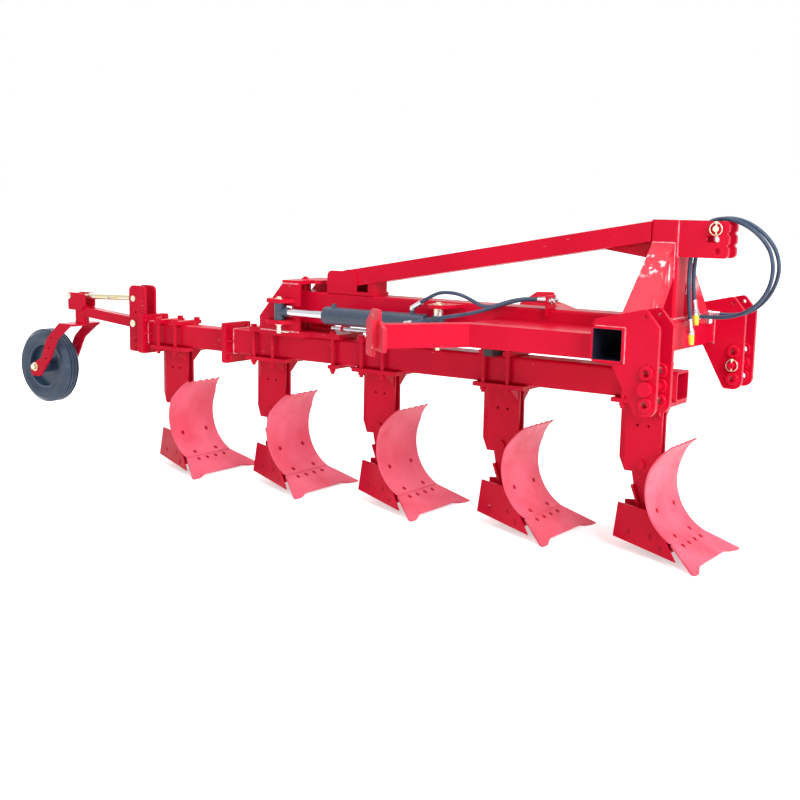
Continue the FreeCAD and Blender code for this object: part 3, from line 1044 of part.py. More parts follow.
def stop_arms():
    """The cranked arms with the stop plates that limit the swing."""
    start = s.cross_x - s.cross_size / 2
    half = s.arm_width / 2
    run, side, length = arm_run()
    along_x = run / length
    along_y = side / length
    bend = half * (length - run) / side

    def arm_outline(offset, name, height, rise):
        shift = bend * offset / half
        points = [(start, -s.arm_centre + offset), (s.arm_bend_x - shift, -s.arm_centre + offset),
                  (s.arm_end_x - along_y * offset, -s.arm_end_y + along_x * offset),
                  (s.arm_end_x + along_y * offset, -s.arm_end_y - along_x * offset),
                  (s.arm_bend_x + shift, -s.arm_centre - offset), (start, -s.arm_centre - offset)]
        return plate(name, "XY", points, height, (0, 0, s.arm_bottom + rise))

    bar = arm_outline(half, "arm_bar", s.arm_height, s.weld_gap * 0)
    space = arm_outline(half - s.arm_wall, "arm_space", s.arm_height - s.arm_wall * 2, s.arm_wall)
    node("swing_arms", both("arm_pair", cut("arm_hollow", bar, space)))
    shape = [(s.stop_plate_inner, s.stop_foot_bottom, s.stop_plate_corner),
             (s.stop_foot_outer, s.stop_foot_bottom, s.stop_plate_corner), (s.stop_foot_outer, s.stop_plate_bottom),
             (s.stop_plate_outer, s.stop_plate_bottom, s.stop_plate_corner),
             (s.stop_plate_outer, s.stop_plate_end), (s.stop_plate_ear_outer, s.stop_plate_step),
             (s.stop_plate_ear_outer, s.stop_plate_top, s.stop_plate_corner),
             (s.stop_plate_ear_inner, s.stop_plate_top, s.stop_plate_corner),
             (s.stop_plate_inner, s.stop_plate_shoulder)]
    heading = bearing(side, run)
    spin = FreeCAD.Rotation(FreeCAD.Vector(0, 0, 1), 1)
    face = plate("stop_face", "YZ", shape, s.stop_plate_thickness, (s.arm_end_x, -s.arm_end_y, 0), rotation=spin,
                 angle=heading + s.half_turn)
    reach = s.stop_plate_thickness + s.stop_rib_reach
    rib = plate("stop_rib", "YZ",
                rectangle(s.stop_rib_place, s.stop_rib_place + s.stop_rib_thickness,
                          s.stop_plate_bottom + s.stop_plate_corner, s.stop_plate_step), reach,
                (s.arm_end_x, -s.arm_end_y, 0), rotation=spin, angle=heading + s.half_turn)
    near = fuse("stop_plate_set", face, rib)
    node("stop_plates", both("stop_plate_pair", near))


def web_plates():
    """The flat web plates in the corners between central beam, arms and cross tube."""
    rear_face = s.cross_x - s.cross_size / 2
    inner = s.spine_width / 2
    outer = s.arm_centre - s.arm_width / 2
    shape = [(s.web_rear_x, -inner), (s.web_rear_x + s.web_mouth, -outer), (rear_face, -outer), (rear_face, -inner)]
    web = plate("web_plate", "XY", shape, s.web_thickness, (0, 0, s.web_top - s.web_thickness))
    return web, mirrored("web_twin", web)


def body_parts(number_of_body, origin, beam_height, strap_base):
    """One plough body: clamp, leg, frog, mouldboard, share and side plates."""
    tag = str(number_of_body)
    clamp(tag, origin, beam_height, strap_base)
    leg(tag, origin)
    frog(tag, origin)
    mouldboard(tag, origin)
    share(tag, origin)


def clamp(tag, origin, beam_top, strap_base):
    """The clamp that holds a body on the beam: base plate, straps and studs."""
    bottom = s.beam_bottom - s.clamp_thickness
    places = [origin + s.strap_first_x + s.strap_length / 2, origin + s.strap_second_x + s.strap_length / 2]
    half = s.clamp_width / 2
    holes = [(x - origin, y, s.stud_radius) for x in places for y in (-s.stud_side, s.stud_side)]
    base = plate("clamp_base_" + tag, "XY", rectangle(s.clamp_rear, s.clamp_front, -half, half),
                 s.clamp_thickness, (origin, 0, bottom), holes)
    pieces = [base]
    reach = beam_top if strap_base else beam_top + s.strap_thickness
    for count, x in enumerate(places):
        if not strap_base:
            strap_holes = [(0, y, s.stud_radius) for y in (-s.stud_side, s.stud_side)]
            strap_half = s.strap_length / 2
            pieces.append(plate("strap_" + tag + "_" + str(count), "XY",
                                rectangle(-strap_half, strap_half, -half, half), s.strap_thickness,
                                (x, 0, beam_top), strap_holes))
        for side, y in (("near", -s.stud_side), ("far", s.stud_side)):
            pieces.append(stud_set("stud_" + tag + "_" + str(count) + side, x, y, bottom, reach))
    GROUPS["clamps"].extend(pieces)


def leg(tag, origin):
    """The leg: two folded side plates, the spacer between them, the gussets and the bolt."""
    top = s.beam_bottom - s.clamp_thickness
    plan = [(s.leg_front, -s.leg_inner), (s.leg_fold + s.leg_plate / 2, -s.leg_inner),
            (s.leg_rear, -s.leg_fold_edge + s.leg_plate), (s.leg_rear, -s.leg_fold_edge - s.weld_gap),
            (s.leg_fold, -s.leg_outer), (s.leg_front, -s.leg_outer)]
    column = plate("leg_column_" + tag, "XY", plan, top - s.leg_foot, (origin, 0, s.leg_foot))
    profile = [(s.leg_foot_rear, s.leg_foot), (s.leg_foot_front, s.leg_foot),
               (s.leg_front, s.leg_foot + s.leg_foot_front_rise), (s.leg_front, top), (s.leg_rear, top),
               (s.leg_rear, s.leg_foot + s.leg_foot_rise)]
    holes = [(s.leg_hole_x, s.leg_hole_z, s.leg_hole_radius),
             (s.leg_hole_x + s.leg_hole_pitch, s.leg_hole_z, s.leg_hole_radius),
             (s.leg_bolt_x, s.leg_bolt_z, s.leg_bolt_radius)]
    outline = plate("leg_outline_" + tag, "XZ", profile, s.leg_outer * 2, (origin, -s.leg_outer, 0), holes)
    side = common("leg_side_" + tag, column, outline)
    gusset = plate("leg_gusset_" + tag, "YZ",
                   [(-s.leg_outer, top - s.gusset_drop), (-s.leg_outer, top), (-s.clamp_width / 2, top)],
                   s.gusset_thickness, (origin + s.gusset_x, 0, 0))
    spacer = box("leg_spacer_" + tag, s.spacer_front - s.leg_fold - s.leg_plate, s.leg_inner * 2,
                 top - s.spacer_bottom, (origin + s.leg_fold + s.leg_plate, -s.leg_inner, s.spacer_bottom))
    head = s.leg_outer + s.leg_bolt_head_height
    bolt = fuse("leg_bolt_" + tag,
                rod("leg_bolt_shank_" + tag, "Y", s.leg_bolt_radius, s.leg_outer * 2,
                    (origin + s.leg_bolt_x, -s.leg_outer, s.leg_bolt_z)),
                rod("leg_bolt_head_" + tag, "Y", s.leg_bolt_head, s.leg_bolt_head_height,
                    (origin + s.leg_bolt_x, -head, s.leg_bolt_z)),
                hexagon("leg_bolt_nut_" + tag, "Y", s.leg_bolt_head, s.leg_bolt_head_height,
                        (origin + s.leg_bolt_x, s.leg_outer, s.leg_bolt_z)))
    far_side = mirrored("leg_side_twin_" + tag, side)
    far_gusset = mirrored("leg_gusset_twin_" + tag, gusset)
    shell = fuse("leg_shell_" + tag, side, far_side, spacer, gusset, far_gusset)
    GROUPS["legs"].extend([shell, bolt])


def share_under(x):
    """Height of the share's underside at a place ahead of the body's origin."""
    fall = tangent(s.share_angle)
    return s.share_seam_z - s.share_thickness / cosine(s.share_angle) - fall * (x - s.share_seam_x)


def board_drum(name, origin, radius):
    """The drum that the mouldboard's face, or its back, is a part of."""
    return rod(name, "Y", radius, s.board_half_middle * 2 + s.cut_overrun * 2,
               (origin + s.board_centre_x, -s.board_half_middle - s.cut_overrun, s.board_centre_z))


def frog(tag, origin):
    """The frog: shank between the leg plates, wedge, deck and side plates that carry the blades."""
    side_top = s.leg_inner - s.weld_gap
    toe = s.share_seam_x + s.board_thickness * 4
    profile = [(s.frog_top_rear, s.frog_top), (s.frog_waist_rear, s.frog_waist_z), (s.frog_heel_x, s.frog_heel_z),
               (toe, s.frog_heel_z - s.frog_plate_thickness), (toe, share_under(toe)),
               (s.share_seam_x - s.share_thickness * sine(s.share_angle),
                s.share_seam_z - s.share_thickness * cosine(s.share_angle)),
               (s.share_seam_x, s.share_seam_z), (s.share_seam_x, s.leg_foot),
               (s.frog_top_front, s.leg_foot), (s.frog_top_front, s.frog_top)]
    shank = plate("frog_shank_" + tag, "XZ", profile, side_top * 2, (origin, -side_top, 0),
                  holes=[(s.leg_bolt_x, s.leg_bolt_z, s.leg_bolt_radius)])
    back = board_drum("frog_drum_" + tag, origin, s.board_radius + s.board_thickness)
    web = cut("frog_web_" + tag, shank, back)
    lean = tangent(s.side_angle)
    rear_half = s.side_rear_y + lean * (s.frog_deck_rear - s.side_rear_x) - s.side_thickness * 2
    front_half = s.side_rear_y + lean * (s.share_seam_x - s.side_rear_x) - s.side_thickness * 2
    deck = plate("frog_deck_" + tag, "XY",
                 [(s.frog_deck_rear, -rear_half), (s.share_seam_x, -front_half), (s.share_seam_x, front_half),
                  (s.frog_deck_rear, rear_half)], s.frog_plate_thickness, (origin, 0, s.frog_deck_z))
    wedge_half = s.wedge_width / 2
    wedge = plate("frog_wedge_" + tag, "XZ",
                  [(s.wedge_top_x, s.wedge_top_z), (s.wedge_foot_x, s.wedge_foot_z),
                   (s.wedge_foot_x + s.wedge_thickness, s.wedge_foot_z),
                   (s.wedge_top_x + s.wedge_thickness, s.wedge_top_z)], s.wedge_width, (origin, -wedge_half, 0))
    middle = fuse("frog_middle_" + tag, web, deck, wedge)
    side = side_plate(tag, origin)
    GROUPS["frogs"].append(middle)
    GROUPS["side_plates"].extend([side, mirrored("side_plate_twin_" + tag, side)])


def side_plate(tag, origin):
    """One of the two long plates that run back from the blades, opening forwards and leaning inwards."""
    yaw = math.radians(s.side_angle.value)
    tilt = math.radians(s.side_lean.value)
    ahead = FreeCAD.Vector(math.cos(yaw), -math.sin(yaw), 0)
    aside = FreeCAD.Vector(math.sin(yaw), math.cos(yaw), 0)
    upward = FreeCAD.Vector(0, 0, 1) * math.cos(tilt) + aside * math.sin(tilt)
    start = FreeCAD.Vector((PIVOT_X + origin + s.side_rear_x).value, -s.side_rear_y.value, s.side_rear_z.value)
    outline = [(0, 0), (s.side_length.value, -s.side_drop.value), (s.side_knee_length.value, s.side_knee_height.value),
               (s.side_top_length.value, s.side_height.value), (0, s.side_height.value)]
    corners = [start + ahead * along + upward * up for along, up in outline]
    inward = ahead.cross(upward) * -1
    if inward.y < 0:
        inward = inward * -1
    face = Part.Face(Part.makePolygon(corners + corners[:1]))
    solid = face.extrude(inward * s.side_thickness.value)
    drum = Part.makeCylinder((s.board_radius + s.board_thickness).value, s.share_half_tip.value * 2,
                             FreeCAD.Vector((PIVOT_X + origin + s.board_centre_x).value, -s.share_half_tip.value,
                                            s.board_centre_z.value), FreeCAD.Vector(0, 1, 0))
    return feature("side_plate_" + tag, solid.cut(drum))


def mouldboard(tag, origin):
    """The mouldboard: part of a drum, with chamfered shoulders and a scalloped top edge."""
    face = board_drum("board_face_" + tag, origin, s.board_radius)
    back = board_drum("board_back_" + tag, origin, s.board_radius + s.board_thickness)
    shell = cut("board_shell_" + tag, back, face)
    reach = s.board_radius + s.board_thickness
    shape = [(-s.board_half_bottom, s.share_seam_z), (s.board_half_bottom, s.share_seam_z),
             (s.board_half_middle, s.board_shoulder_z), (s.board_half_top, s.board_top_z),
             (-s.board_half_top, s.board_top_z), (-s.board_half_middle, s.board_shoulder_z)]
    window = plate("board_window_" + tag, "YZ", shape, reach, (origin + s.board_centre_x - reach - s.cut_overrun, 0, 0))
    scallops = []
    for count in range(5):
        y = s.tooth_pitch * (count - 2)
        scallops.append(rod("scallop_" + tag + "_" + str(count), "X", s.tooth_radius, reach + s.cut_overrun * 2,
                            (origin + s.board_centre_x - reach - s.cut_overrun * 2, y,
                             s.board_top_z + s.tooth_radius - s.tooth_depth)))
    blade = cut("board_toothed_" + tag, common("board_sheet_" + tag, shell, window), *scallops)
    node("mouldboard_" + tag, blade)


def share(tag, origin):
    """The share: a flat blade that carries on the mouldboard's curve, with two drawn-out tips."""
    tip_length = s.share_seam_z / sine(s.share_angle)
    bay = tip_length - s.share_bay_depth
    tip = s.share_half_tip
    inner = tip - s.share_tip_width
    half = s.board_half_bottom
    shape = [(0, -half), (tip_length, -tip, s.share_tip_corner), (tip_length, -inner, s.share_tip_corner),
             (bay, -s.share_bay_half, s.share_bay_corner), (bay, s.share_bay_half, s.share_bay_corner),
             (tip_length, inner, s.share_tip_corner), (tip_length, tip, s.share_tip_corner), (0, half)]
    sheet = plate("share_sheet_" + tag, "XY", shape, s.share_thickness, (origin + s.share_seam_x, 0, s.share_seam_z),
                  rotation=FreeCAD.Rotation(FreeCAD.Vector(0, 1, 0), 1), angle=s.share_angle, back=True)
    ground = box("share_ground_" + tag, tip_length + s.share_thickness, s.share_half_tip * 2 + s.cut_overrun * 2,
                 s.share_thickness * 2, (origin + s.share_seam_x, -s.share_half_tip - s.cut_overrun,
                                         -s.share_thickness * 2))
    node("share_" + tag, cut("share_blade_" + tag, sheet, ground))


def plough_bodies():
    """The five bodies along the beam."""
    top = s.beam_bottom + s.beam_width
    for count in range(5):
        origin = body_place(count)
        if count == 0:
            height, through = s.beam_bottom + s.extension_width, False
        elif count == 1:
            height, through = top + s.base_plate_thickness, True
        else:
            height, through = top, False
        body_parts(count + 1, origin, height, through)
    for label, items in GROUPS.items():
        node(label, gather(label + "_set", *items))


def wheel_carrier():
    """The uprights on the rear flange, the wheel arm and its head block."""
    face = s.extension_rear - s.rear_flange_thickness * 2
    rear = face - s.upright_length
    outer = s.upright_inner + s.upright_plate
    heights = (s.wheel_pivot_z + s.upright_corner * s.upright_high_share,
               s.wheel_pivot_z - s.upright_corner * s.upright_middle_share,
               s.wheel_pivot_z - s.upright_corner * s.upright_low_share)
    holes = [(s.upright_hole_x, z, s.upright_hole) for z in heights]
    holes += [(s.wheel_pivot_x, s.wheel_pivot_z, s.wheel_pivot_radius),
              (s.screw_pivot_x, s.screw_pivot_z, s.screw_bolt_radius)]
    shape = [(rear, s.upright_bottom, s.flange_corner), (face, s.upright_bottom), (face, s.upright_top, s.upright_corner),
             (rear, s.upright_top, s.upright_corner)]
    side = plate("upright", "XZ", shape, s.upright_plate, (0, -outer, 0), holes)
    node("wheel_uprights", both("upright_pair", side))
    node("wheel_pins", gather("wheel_pin_set",
                              cross_pin("wheel_pivot", s.wheel_pivot_x, s.wheel_pivot_z, s.wheel_pivot_radius, outer,
                                        s.wheel_pivot_head, s.wheel_pivot_head_height),
                              cross_pin("screw_pivot", s.screw_pivot_x, s.screw_pivot_z, s.screw_bolt_radius,
                                        outer, s.screw_bolt_head, s.screw_bolt_head_height)))
    wheel_arm()


def cross_pin(name, x, z, radius, outer, head_radius, head_height):
    """A pin across two plates with a head on one side and a nut on the other."""
    shank = rod(name + "_shank", "Y", radius - s.pin_clearance, outer * 2, (x, -outer, z))
    head = rod(name + "_head", "Y", head_radius, head_height, (x, -outer - head_height, z))
    nut = hexagon(name + "_nut", "Y", head_radius, head_height, (x, outer, z))
    return fuse(name + "_pin", shank, head, nut)


def wheel_arm():
    """The square arm from the uprights to the head block that holds the castor spindle."""
    half = s.arm_tube / 2
    inner = s.upright_inner - s.weld_gap
    slope = s.arm_tube_rise / s.arm_tube_run
    end = s.head_front
    end_z = s.wheel_pivot_z + slope * (s.wheel_pivot_x - end)
    shape = [(end, end_z - half), (s.wheel_pivot_x, s.wheel_pivot_z - half), (s.wheel_pivot_x, s.wheel_pivot_z + half),
             (end, end_z + half)]
    bar = plate("wheel_arm_bar", "XZ", shape, inner * 2, (0, -inner, 0))
    wall = s.arm_tube_wall
    nose = s.wheel_pivot_x - s.arm_eye_radius
    nose_z = s.wheel_pivot_z + slope * s.arm_eye_radius
    space = plate("wheel_arm_space", "XZ",
                  [(end + wall, end_z - half + wall), (nose, nose_z - half + wall), (nose, nose_z + half - wall),
                   (end + wall, end_z + half - wall)], inner * 2 - wall * 2, (0, -inner + wall, 0))
    eye = rod("wheel_arm_eye", "Y", s.arm_eye_radius, inner * 2, (s.wheel_pivot_x, -inner, s.wheel_pivot_z))
    hole = rod("wheel_arm_hole", "Y", s.wheel_pivot_radius, inner * 2 + s.cut_overrun * 2,
               (s.wheel_pivot_x, -inner - s.cut_overrun, s.wheel_pivot_z))
    beam = cut("wheel_arm_bored", fuse("wheel_arm_solid", bar, eye), hole, space)
    outer = s.head_inner + s.head_plate
    cheek = plate("head_cheek", "XZ",
                  [(s.head_rear, s.head_bottom, s.head_corner), (s.head_front - s.head_chamfer, s.head_bottom),
                   (s.head_front, s.head_bottom + s.head_chamfer), (s.head_front, s.head_top, s.head_corner),
                   (s.head_rear, s.head_top, s.head_corner)], s.head_plate, (0, -outer, 0),
                  holes=[(s.head_bolt_x, s.head_bolt_z, s.screw_bolt_radius + s.head_bolt_play)])
    sleeve_top = s.head_bottom + s.head_chamfer
    sleeve = rod("spindle_sleeve", "Z", s.spindle_sleeve_radius, sleeve_top - s.sleeve_bottom,
                 (s.spindle_x, 0, s.sleeve_bottom))
    bridge = box("head_bridge", s.head_front - s.spindle_x, s.head_inner * 2, s.arm_tube,
                 (s.spindle_x, -s.head_inner, end_z - half))
    bore = rod("spindle_bore", "Z", s.spindle_bore, s.spindle_top - s.sleeve_bottom + s.cut_overrun * 2,
               (s.spindle_x, 0, s.sleeve_bottom - s.cut_overrun))
    node("wheel_arm", cut("head_bored", fuse("head_solid", beam, cheek, mirrored("head_cheek_twin", cheek), sleeve,
                                             bridge), bore))


def turnbuckle_turn():
    """The slope of the turnbuckle between its two pins."""
    drop = s.screw_pivot_z - s.head_bolt_z
    run = s.screw_pivot_x - s.head_bolt_x
    angle = bearing(drop, run)
    span = Size(math.hypot(run.value, drop.value), "sqrt(" + (run * run + drop * drop).text + ")")
    return angle, span


def turnbuckle():
    """The turnbuckle that sets the wheel: front eye, sleeve with tommy bar, rear screw."""
    angle, span = turnbuckle_turn()
    aim = FreeCAD.Rotation(FreeCAD.Vector(0, 1, 0), 1)
    slope = s.quarter_turn * -1 - angle
    along_x = -cosine(angle)
    along_z = -sine(angle)

    def point(distance):
        return (s.screw_pivot_x + along_x * distance, 0, s.screw_pivot_z + along_z * distance)

    def bar(name, radius, start, end):
        item = doc.addObject("Part::Cylinder", name)
        bind(item, "Radius", radius)
        bind(item, "Height", end - start)
        return place(item, point(start), aim, slope)

    width = s.turnbuckle_eye_width
    front_eye = rod("front_eye", "Y", s.turnbuckle_eye_radius, width, (s.screw_pivot_x, -width / 2, s.screw_pivot_z))
    front_screw = bar("front_screw", s.screw_radius, s.screw_bolt_radius * 0, s.sleeve_front + s.screw_engagement)
    front_hole = rod("front_eye_hole", "Y", s.screw_bolt_radius, width + s.cut_overrun * 2,
                     (s.screw_pivot_x, -width / 2 - s.cut_overrun, s.screw_pivot_z))
    node("turnbuckle_front_eye", cut("front_eye_bored", fuse("front_eye_solid", front_eye, front_screw), front_hole))
    tube = bar("sleeve_tube", s.sleeve_radius, s.sleeve_front, s.sleeve_rear)
    bore = bar("sleeve_bore", s.screw_radius + s.thread_play, s.sleeve_front - s.cut_overrun,
               s.sleeve_rear + s.cut_overrun)
    tommy_at = point(s.tommy_place)
    tommy = rod("tommy_bar_rod", "Y", s.tommy_radius, s.tommy_length,
                (tommy_at[0], -s.sleeve_radius - s.tommy_length, tommy_at[2]))
    node("turnbuckle_sleeve", fuse("sleeve_set", cut("sleeve_bored", tube, bore), tommy))
    rear_eye = rod("rear_eye", "Y", s.turnbuckle_eye_radius, width, (s.head_bolt_x, -width / 2, s.head_bolt_z))
    rear_screw = bar("rear_screw", s.screw_radius, s.sleeve_rear - s.screw_engagement, span)
    outer = s.head_inner + s.head_plate
    bolt = cross_pin("head_bolt", s.head_bolt_x, s.head_bolt_z, s.screw_bolt_radius, outer + s.weld_gap,
                     s.screw_bolt_head, s.screw_bolt_head_height)
    node("turnbuckle_rear_screw", fuse("rear_screw_solid", rear_eye, rear_screw, bolt))


def castor():
    """The castor fork with its spindle, the axle, the rim and the tyre."""
    half = s.crown_width / 2
    crown = plate("crown", "XY", rectangle(s.crown_rear, s.crown_front, -half, half), s.crown_thickness,
                  (0, 0, s.crown_top - s.crown_thickness))
    spindle = turned("spindle",
                     [(0, s.crown_top), (s.spindle_bore - s.spindle_play, s.crown_top),
                      (s.spindle_bore - s.spindle_play, s.head_bottom + s.head_chamfer + s.weld_gap),
                      (s.spindle_cap_radius, s.head_bottom + s.head_chamfer + s.weld_gap),
                      (s.spindle_cap_radius, s.head_bottom + s.head_chamfer + s.spindle_cap_height),
                      (0, s.head_bottom + s.head_chamfer + s.spindle_cap_height)], "Z", (s.spindle_x, 0, 0))
    under = s.crown_top
    width = s.fork_arm_width
    tip = s.wheel_z - s.fork_tip_drop
    shape = [(s.crown_rear, under), (s.fork_bow_x - width / 4, s.fork_bow_z, s.fork_arm_corner * 3),
             (s.fork_neck_x - width / 4, s.fork_neck_z, s.fork_arm_corner * 2),
             (s.wheel_x - width / 2, s.wheel_z + s.fork_arm_corner / 3, s.fork_arm_corner),
             (s.wheel_x - width / 2, tip, s.fork_arm_corner * s.corner_share),
             (s.wheel_x + width / 2, tip, s.fork_arm_corner * s.corner_share),
             (s.fork_neck_x + width * s.fork_neck_share, s.fork_neck_z, s.fork_arm_corner * 2),
             (s.fork_bow_x + width * s.fork_bow_share, s.fork_bow_z, s.fork_arm_corner * 3), (s.crown_front, under)]
    hole_run = (s.fork_bow_x - s.fork_neck_x) / 2
    holes = [(s.wheel_x, s.wheel_z, s.axle_radius)]
    for count in range(3):
        rise = hole_run * s.fork_hole_rise_share * count
        holes.append((s.fork_neck_x + width / 4 + hole_run * count, s.fork_neck_z + rise, s.fork_hole))
    arm = plate("fork_arm", "XZ", shape, s.fork_arm_thickness, (0, -half - s.fork_arm_thickness, 0), holes)
    node("castor_fork", fuse("fork_solid", crown, spindle, arm, mirrored("fork_arm_twin", arm)))
    outer = half + s.fork_arm_thickness
    pin = rod("axle_bar", "Y", s.axle_radius - s.pin_clearance, outer * 2, (s.wheel_x, -outer, s.wheel_z))
    ends = []
    for tag, start, turn_out in (("near", -outer, -1), ("far", outer, 1)):
        washer_start = start - s.washer_thickness if turn_out < 0 else start
        nut_start = start - s.washer_thickness - s.axle_nut_height if turn_out < 0 else start + s.washer_thickness
        ends.append(rod("axle_washer_" + tag, "Y", s.axle_washer_radius, s.washer_thickness,
                        (s.wheel_x, washer_start, s.wheel_z)))
        ends.append(hexagon("axle_nut_" + tag, "Y", s.axle_nut_radius, s.axle_nut_height,
                            (s.wheel_x, nut_start, s.wheel_z)))
    node("wheel_axle", fuse("axle_set", pin, *ends))
    rim_and_tyre()


def rim_and_tyre():
    """The pressed rim with its hub, and the solid ribbed tyre on it."""
    seat = s.tyre_seat_radius
    wide = s.rim_width / 2
    hub = s.hub_length / 2
    rim = turned("rim_ring",
                 [(s.axle_radius, -hub), (s.hub_radius, -hub), (s.hub_radius, -s.rim_web), (seat - s.rim_drop, -s.rim_web),
                  (seat - s.rim_drop, -wide), (seat, -wide), (seat, wide), (seat - s.rim_drop, wide),
                  (seat - s.rim_drop, s.rim_web), (s.hub_radius, s.rim_web), (s.hub_radius, hub), (s.axle_radius, hub)],
                 "Y", (s.wheel_x, 0, s.wheel_z))
    node("wheel_rim", rim)
    half = s.wheel_width / 2
    top = s.wheel_radius
    shape = [(seat, -wide), (seat + s.rim_lip, -wide - s.tyre_bulge), (top - s.tyre_shoulder * 2, -half),
             (top - s.tyre_shoulder, -half), (top, -half + s.tyre_shoulder)]
    for count in (-1, 0, 1):
        groove = s.rib_width * s.rib_pitch_share * count
        shape += [(top, groove - s.rib_width / 2), (top - s.rib_depth, groove - s.rib_width / 2),
                  (top - s.rib_depth, groove + s.rib_width / 2), (top, groove + s.rib_width / 2)]
    shape += [(top, half - s.tyre_shoulder), (top - s.tyre_shoulder, half), (top - s.tyre_shoulder * 2, half),
              (seat + s.rim_lip, wide + s.tyre_bulge), (seat, wide)]
    node("tyre", turned("tyre_ring", shape, "Y", (s.wheel_x, 0, s.wheel_z)))


def route(name):
    """The points of a hose's route, carried along by the piece that the hose starts from."""
    if name in TRACTOR_ROUTES:
        along = s.cross_x.value
        up = s.cross_z.value
        points = TRACTOR_ROUTES[name]
    else:
        along = s.base_pin_x.value
        up = s.spine_bottom.value
        points = CYLINDER_ROUTES[name]
    return [(along + x, y, up + z) for x, y, z in points]


def chosen(value):
    """A coordinate of a route, as a size that stays as chosen."""
    return Size(value, "(" + repr(float(value)) + ")")


def hose(name):
    """A hose along its route: straight runs joined by arcs as large as the runs allow."""
    points = [FreeCAD.Vector(PIVOT_X.value + x, y, z) for x, y, z in route(name)]
    edges = []
    radii = []
    start = points[0]
    for before, here, after in zip(points, points[1:], points[2:]):
        back = before - here
        onward = after - here
        half = back.getAngle(onward) / 2
        reach = min(back.Length, onward.Length) * s.bend_share.value
        radius = reach * math.tan(half)
        back.normalize()
        onward.normalize()
        entry = here + back * reach
        leave = here + onward * reach
        middle = here + (back + onward).normalize() * (radius / math.sin(half) - radius)
        edges.append(Part.LineSegment(start, entry).toShape())
        edges.append(Part.Arc(entry, middle, leave).toShape())
        radii.append(radius)
        start = leave
    edges.append(Part.LineSegment(start, points[-1]).toShape())
    path = Part.Wire(edges)
    circle = Part.Circle(points[0], points[1] - points[0], s.hose_radius.value)
    shape = path.makePipeShell([Part.Wire([circle.toShape()])], True, False)
    print(name, "length", round(path.Length), "radii", [round(radius) for radius in radii])
    node(name, feature(name + "_tube", shape if shape.ShapeType == "Solid" else Part.makeSolid(shape)))


def aimed(name, profile, start, towards):
    """A round piece from one point of a route, pointing at another."""
    aim = FreeCAD.Rotation(FreeCAD.Vector(0, 0, 1), FreeCAD.Vector(*towards) - FreeCAD.Vector(*start))
    return turned(name, profile, "Z", tuple(chosen(value) for value in start), rotation=aim)


def hose_end(name):
    """The last point of a route and a point further on in the same direction."""
    before, last = route(name)[-2:]
    return last, tuple(2 * b - a for a, b in zip(before, last))


def elbow(name, hose_name, corner):
    """An elbow's ball and the ferrule from it to the start of a hose."""
    first = route(hose_name)[0]
    gap = FreeCAD.Vector(*first) - FreeCAD.Vector(*(number(value) for value in corner))
    ball = doc.addObject("Part::Sphere", name + "_ball")
    bind(ball, "Radius", s.elbow_radius)
    place(ball, corner)
    sleeve = aimed(name + "_ferrule", [(0, 0), (s.ferrule_radius, 0), (s.ferrule_radius, chosen(gap.Length)),
                                       (0, chosen(gap.Length))],
                   tuple(number(value) for value in corner), first)
    return [ball, sleeve]


def cross_tube_elbow(tag):
    """A double elbow from the front face of the cross tube up to a tractor hose."""
    name = "tractor_hose_" + tag
    first = route(name)[0]
    face = s.cross_x + s.cross_size / 2
    low = chosen(first[2]) - s.elbow_drop
    corner = (face + s.elbow_reach, chosen(first[1]), chosen(first[2]))
    stub = rod("elbow_stub_" + tag, "X", s.elbow_radius, s.elbow_reach, (face, corner[1], low))
    riser = rod("elbow_riser_" + tag, "Z", s.elbow_radius, s.elbow_drop, (corner[0], corner[1], low))
    knee = doc.addObject("Part::Sphere", "elbow_knee_" + tag)
    bind(knee, "Radius", s.elbow_radius)
    place(knee, (corner[0], corner[1], low))
    return fuse("elbow_set_" + tag, stub, riser, knee, *elbow("elbow_" + tag, name, corner))


def barrel_elbow(tag, base, axis):
    """The elbow on a port of the cylinder's barrel."""
    if axis == "Z":
        corner = (base[0], base[1], base[2] + s.elbow_rise)
        riser = rod("riser_" + tag, "Z", s.elbow_radius, s.elbow_rise, base)
    else:
        corner = (base[0], base[1] - s.elbow_rise, base[2])
        riser = rod("riser_" + tag, "Y", s.elbow_radius, s.elbow_rise, corner)
    pieces = elbow("port_elbow_" + tag, "cylinder_hose_" + tag, corner)
    clear = s.elbow_radius * 2
    size = s.port_radius * 6
    if axis == "Z":
        under = box("under_" + tag, size, size, clear, (base[0] - size / 2, base[1] - size / 2, base[2] - clear))
    else:
        under = box("under_" + tag, size, clear, size, (base[0] - size / 2, base[1], base[2] - size / 2))
    return cut("port_elbow_cut_" + tag, fuse("port_elbow_set_" + tag, riser, *pieces), under)


def bracket_rear():
    """The rear face of the hose bracket, where the ferrules of the cylinder hoses end."""
    return chosen(route("cylinder_hose_upper")[-1][0]) + s.bulkhead_ferrule


def bulkhead(tag):
    """The ferrule at the end of a cylinder hose and its nut in front of the hose bracket."""
    last, further = hose_end("cylinder_hose_" + tag)
    gap = s.bulkhead_ferrule
    sleeve = aimed("bulkhead_sleeve_" + tag, [(0, 0), (s.crimp_radius, 0), (s.crimp_radius, gap), (0, gap)],
                   last, further)
    front = bracket_rear() + s.hose_bracket_plate
    nut = hexagon("bulkhead_nut_" + tag, "X", s.bulkhead_nut_radius, s.bulkhead_nut_height,
                  (front, chosen(last[1]), chosen(last[2])))
    stub = rod("bulkhead_stub_" + tag, "X", s.bulkhead_stub_radius, s.bulkhead_stub_length,
               (front, chosen(last[1]), chosen(last[2])))
    return [sleeve, fuse("bulkhead_front_" + tag, nut, stub)]


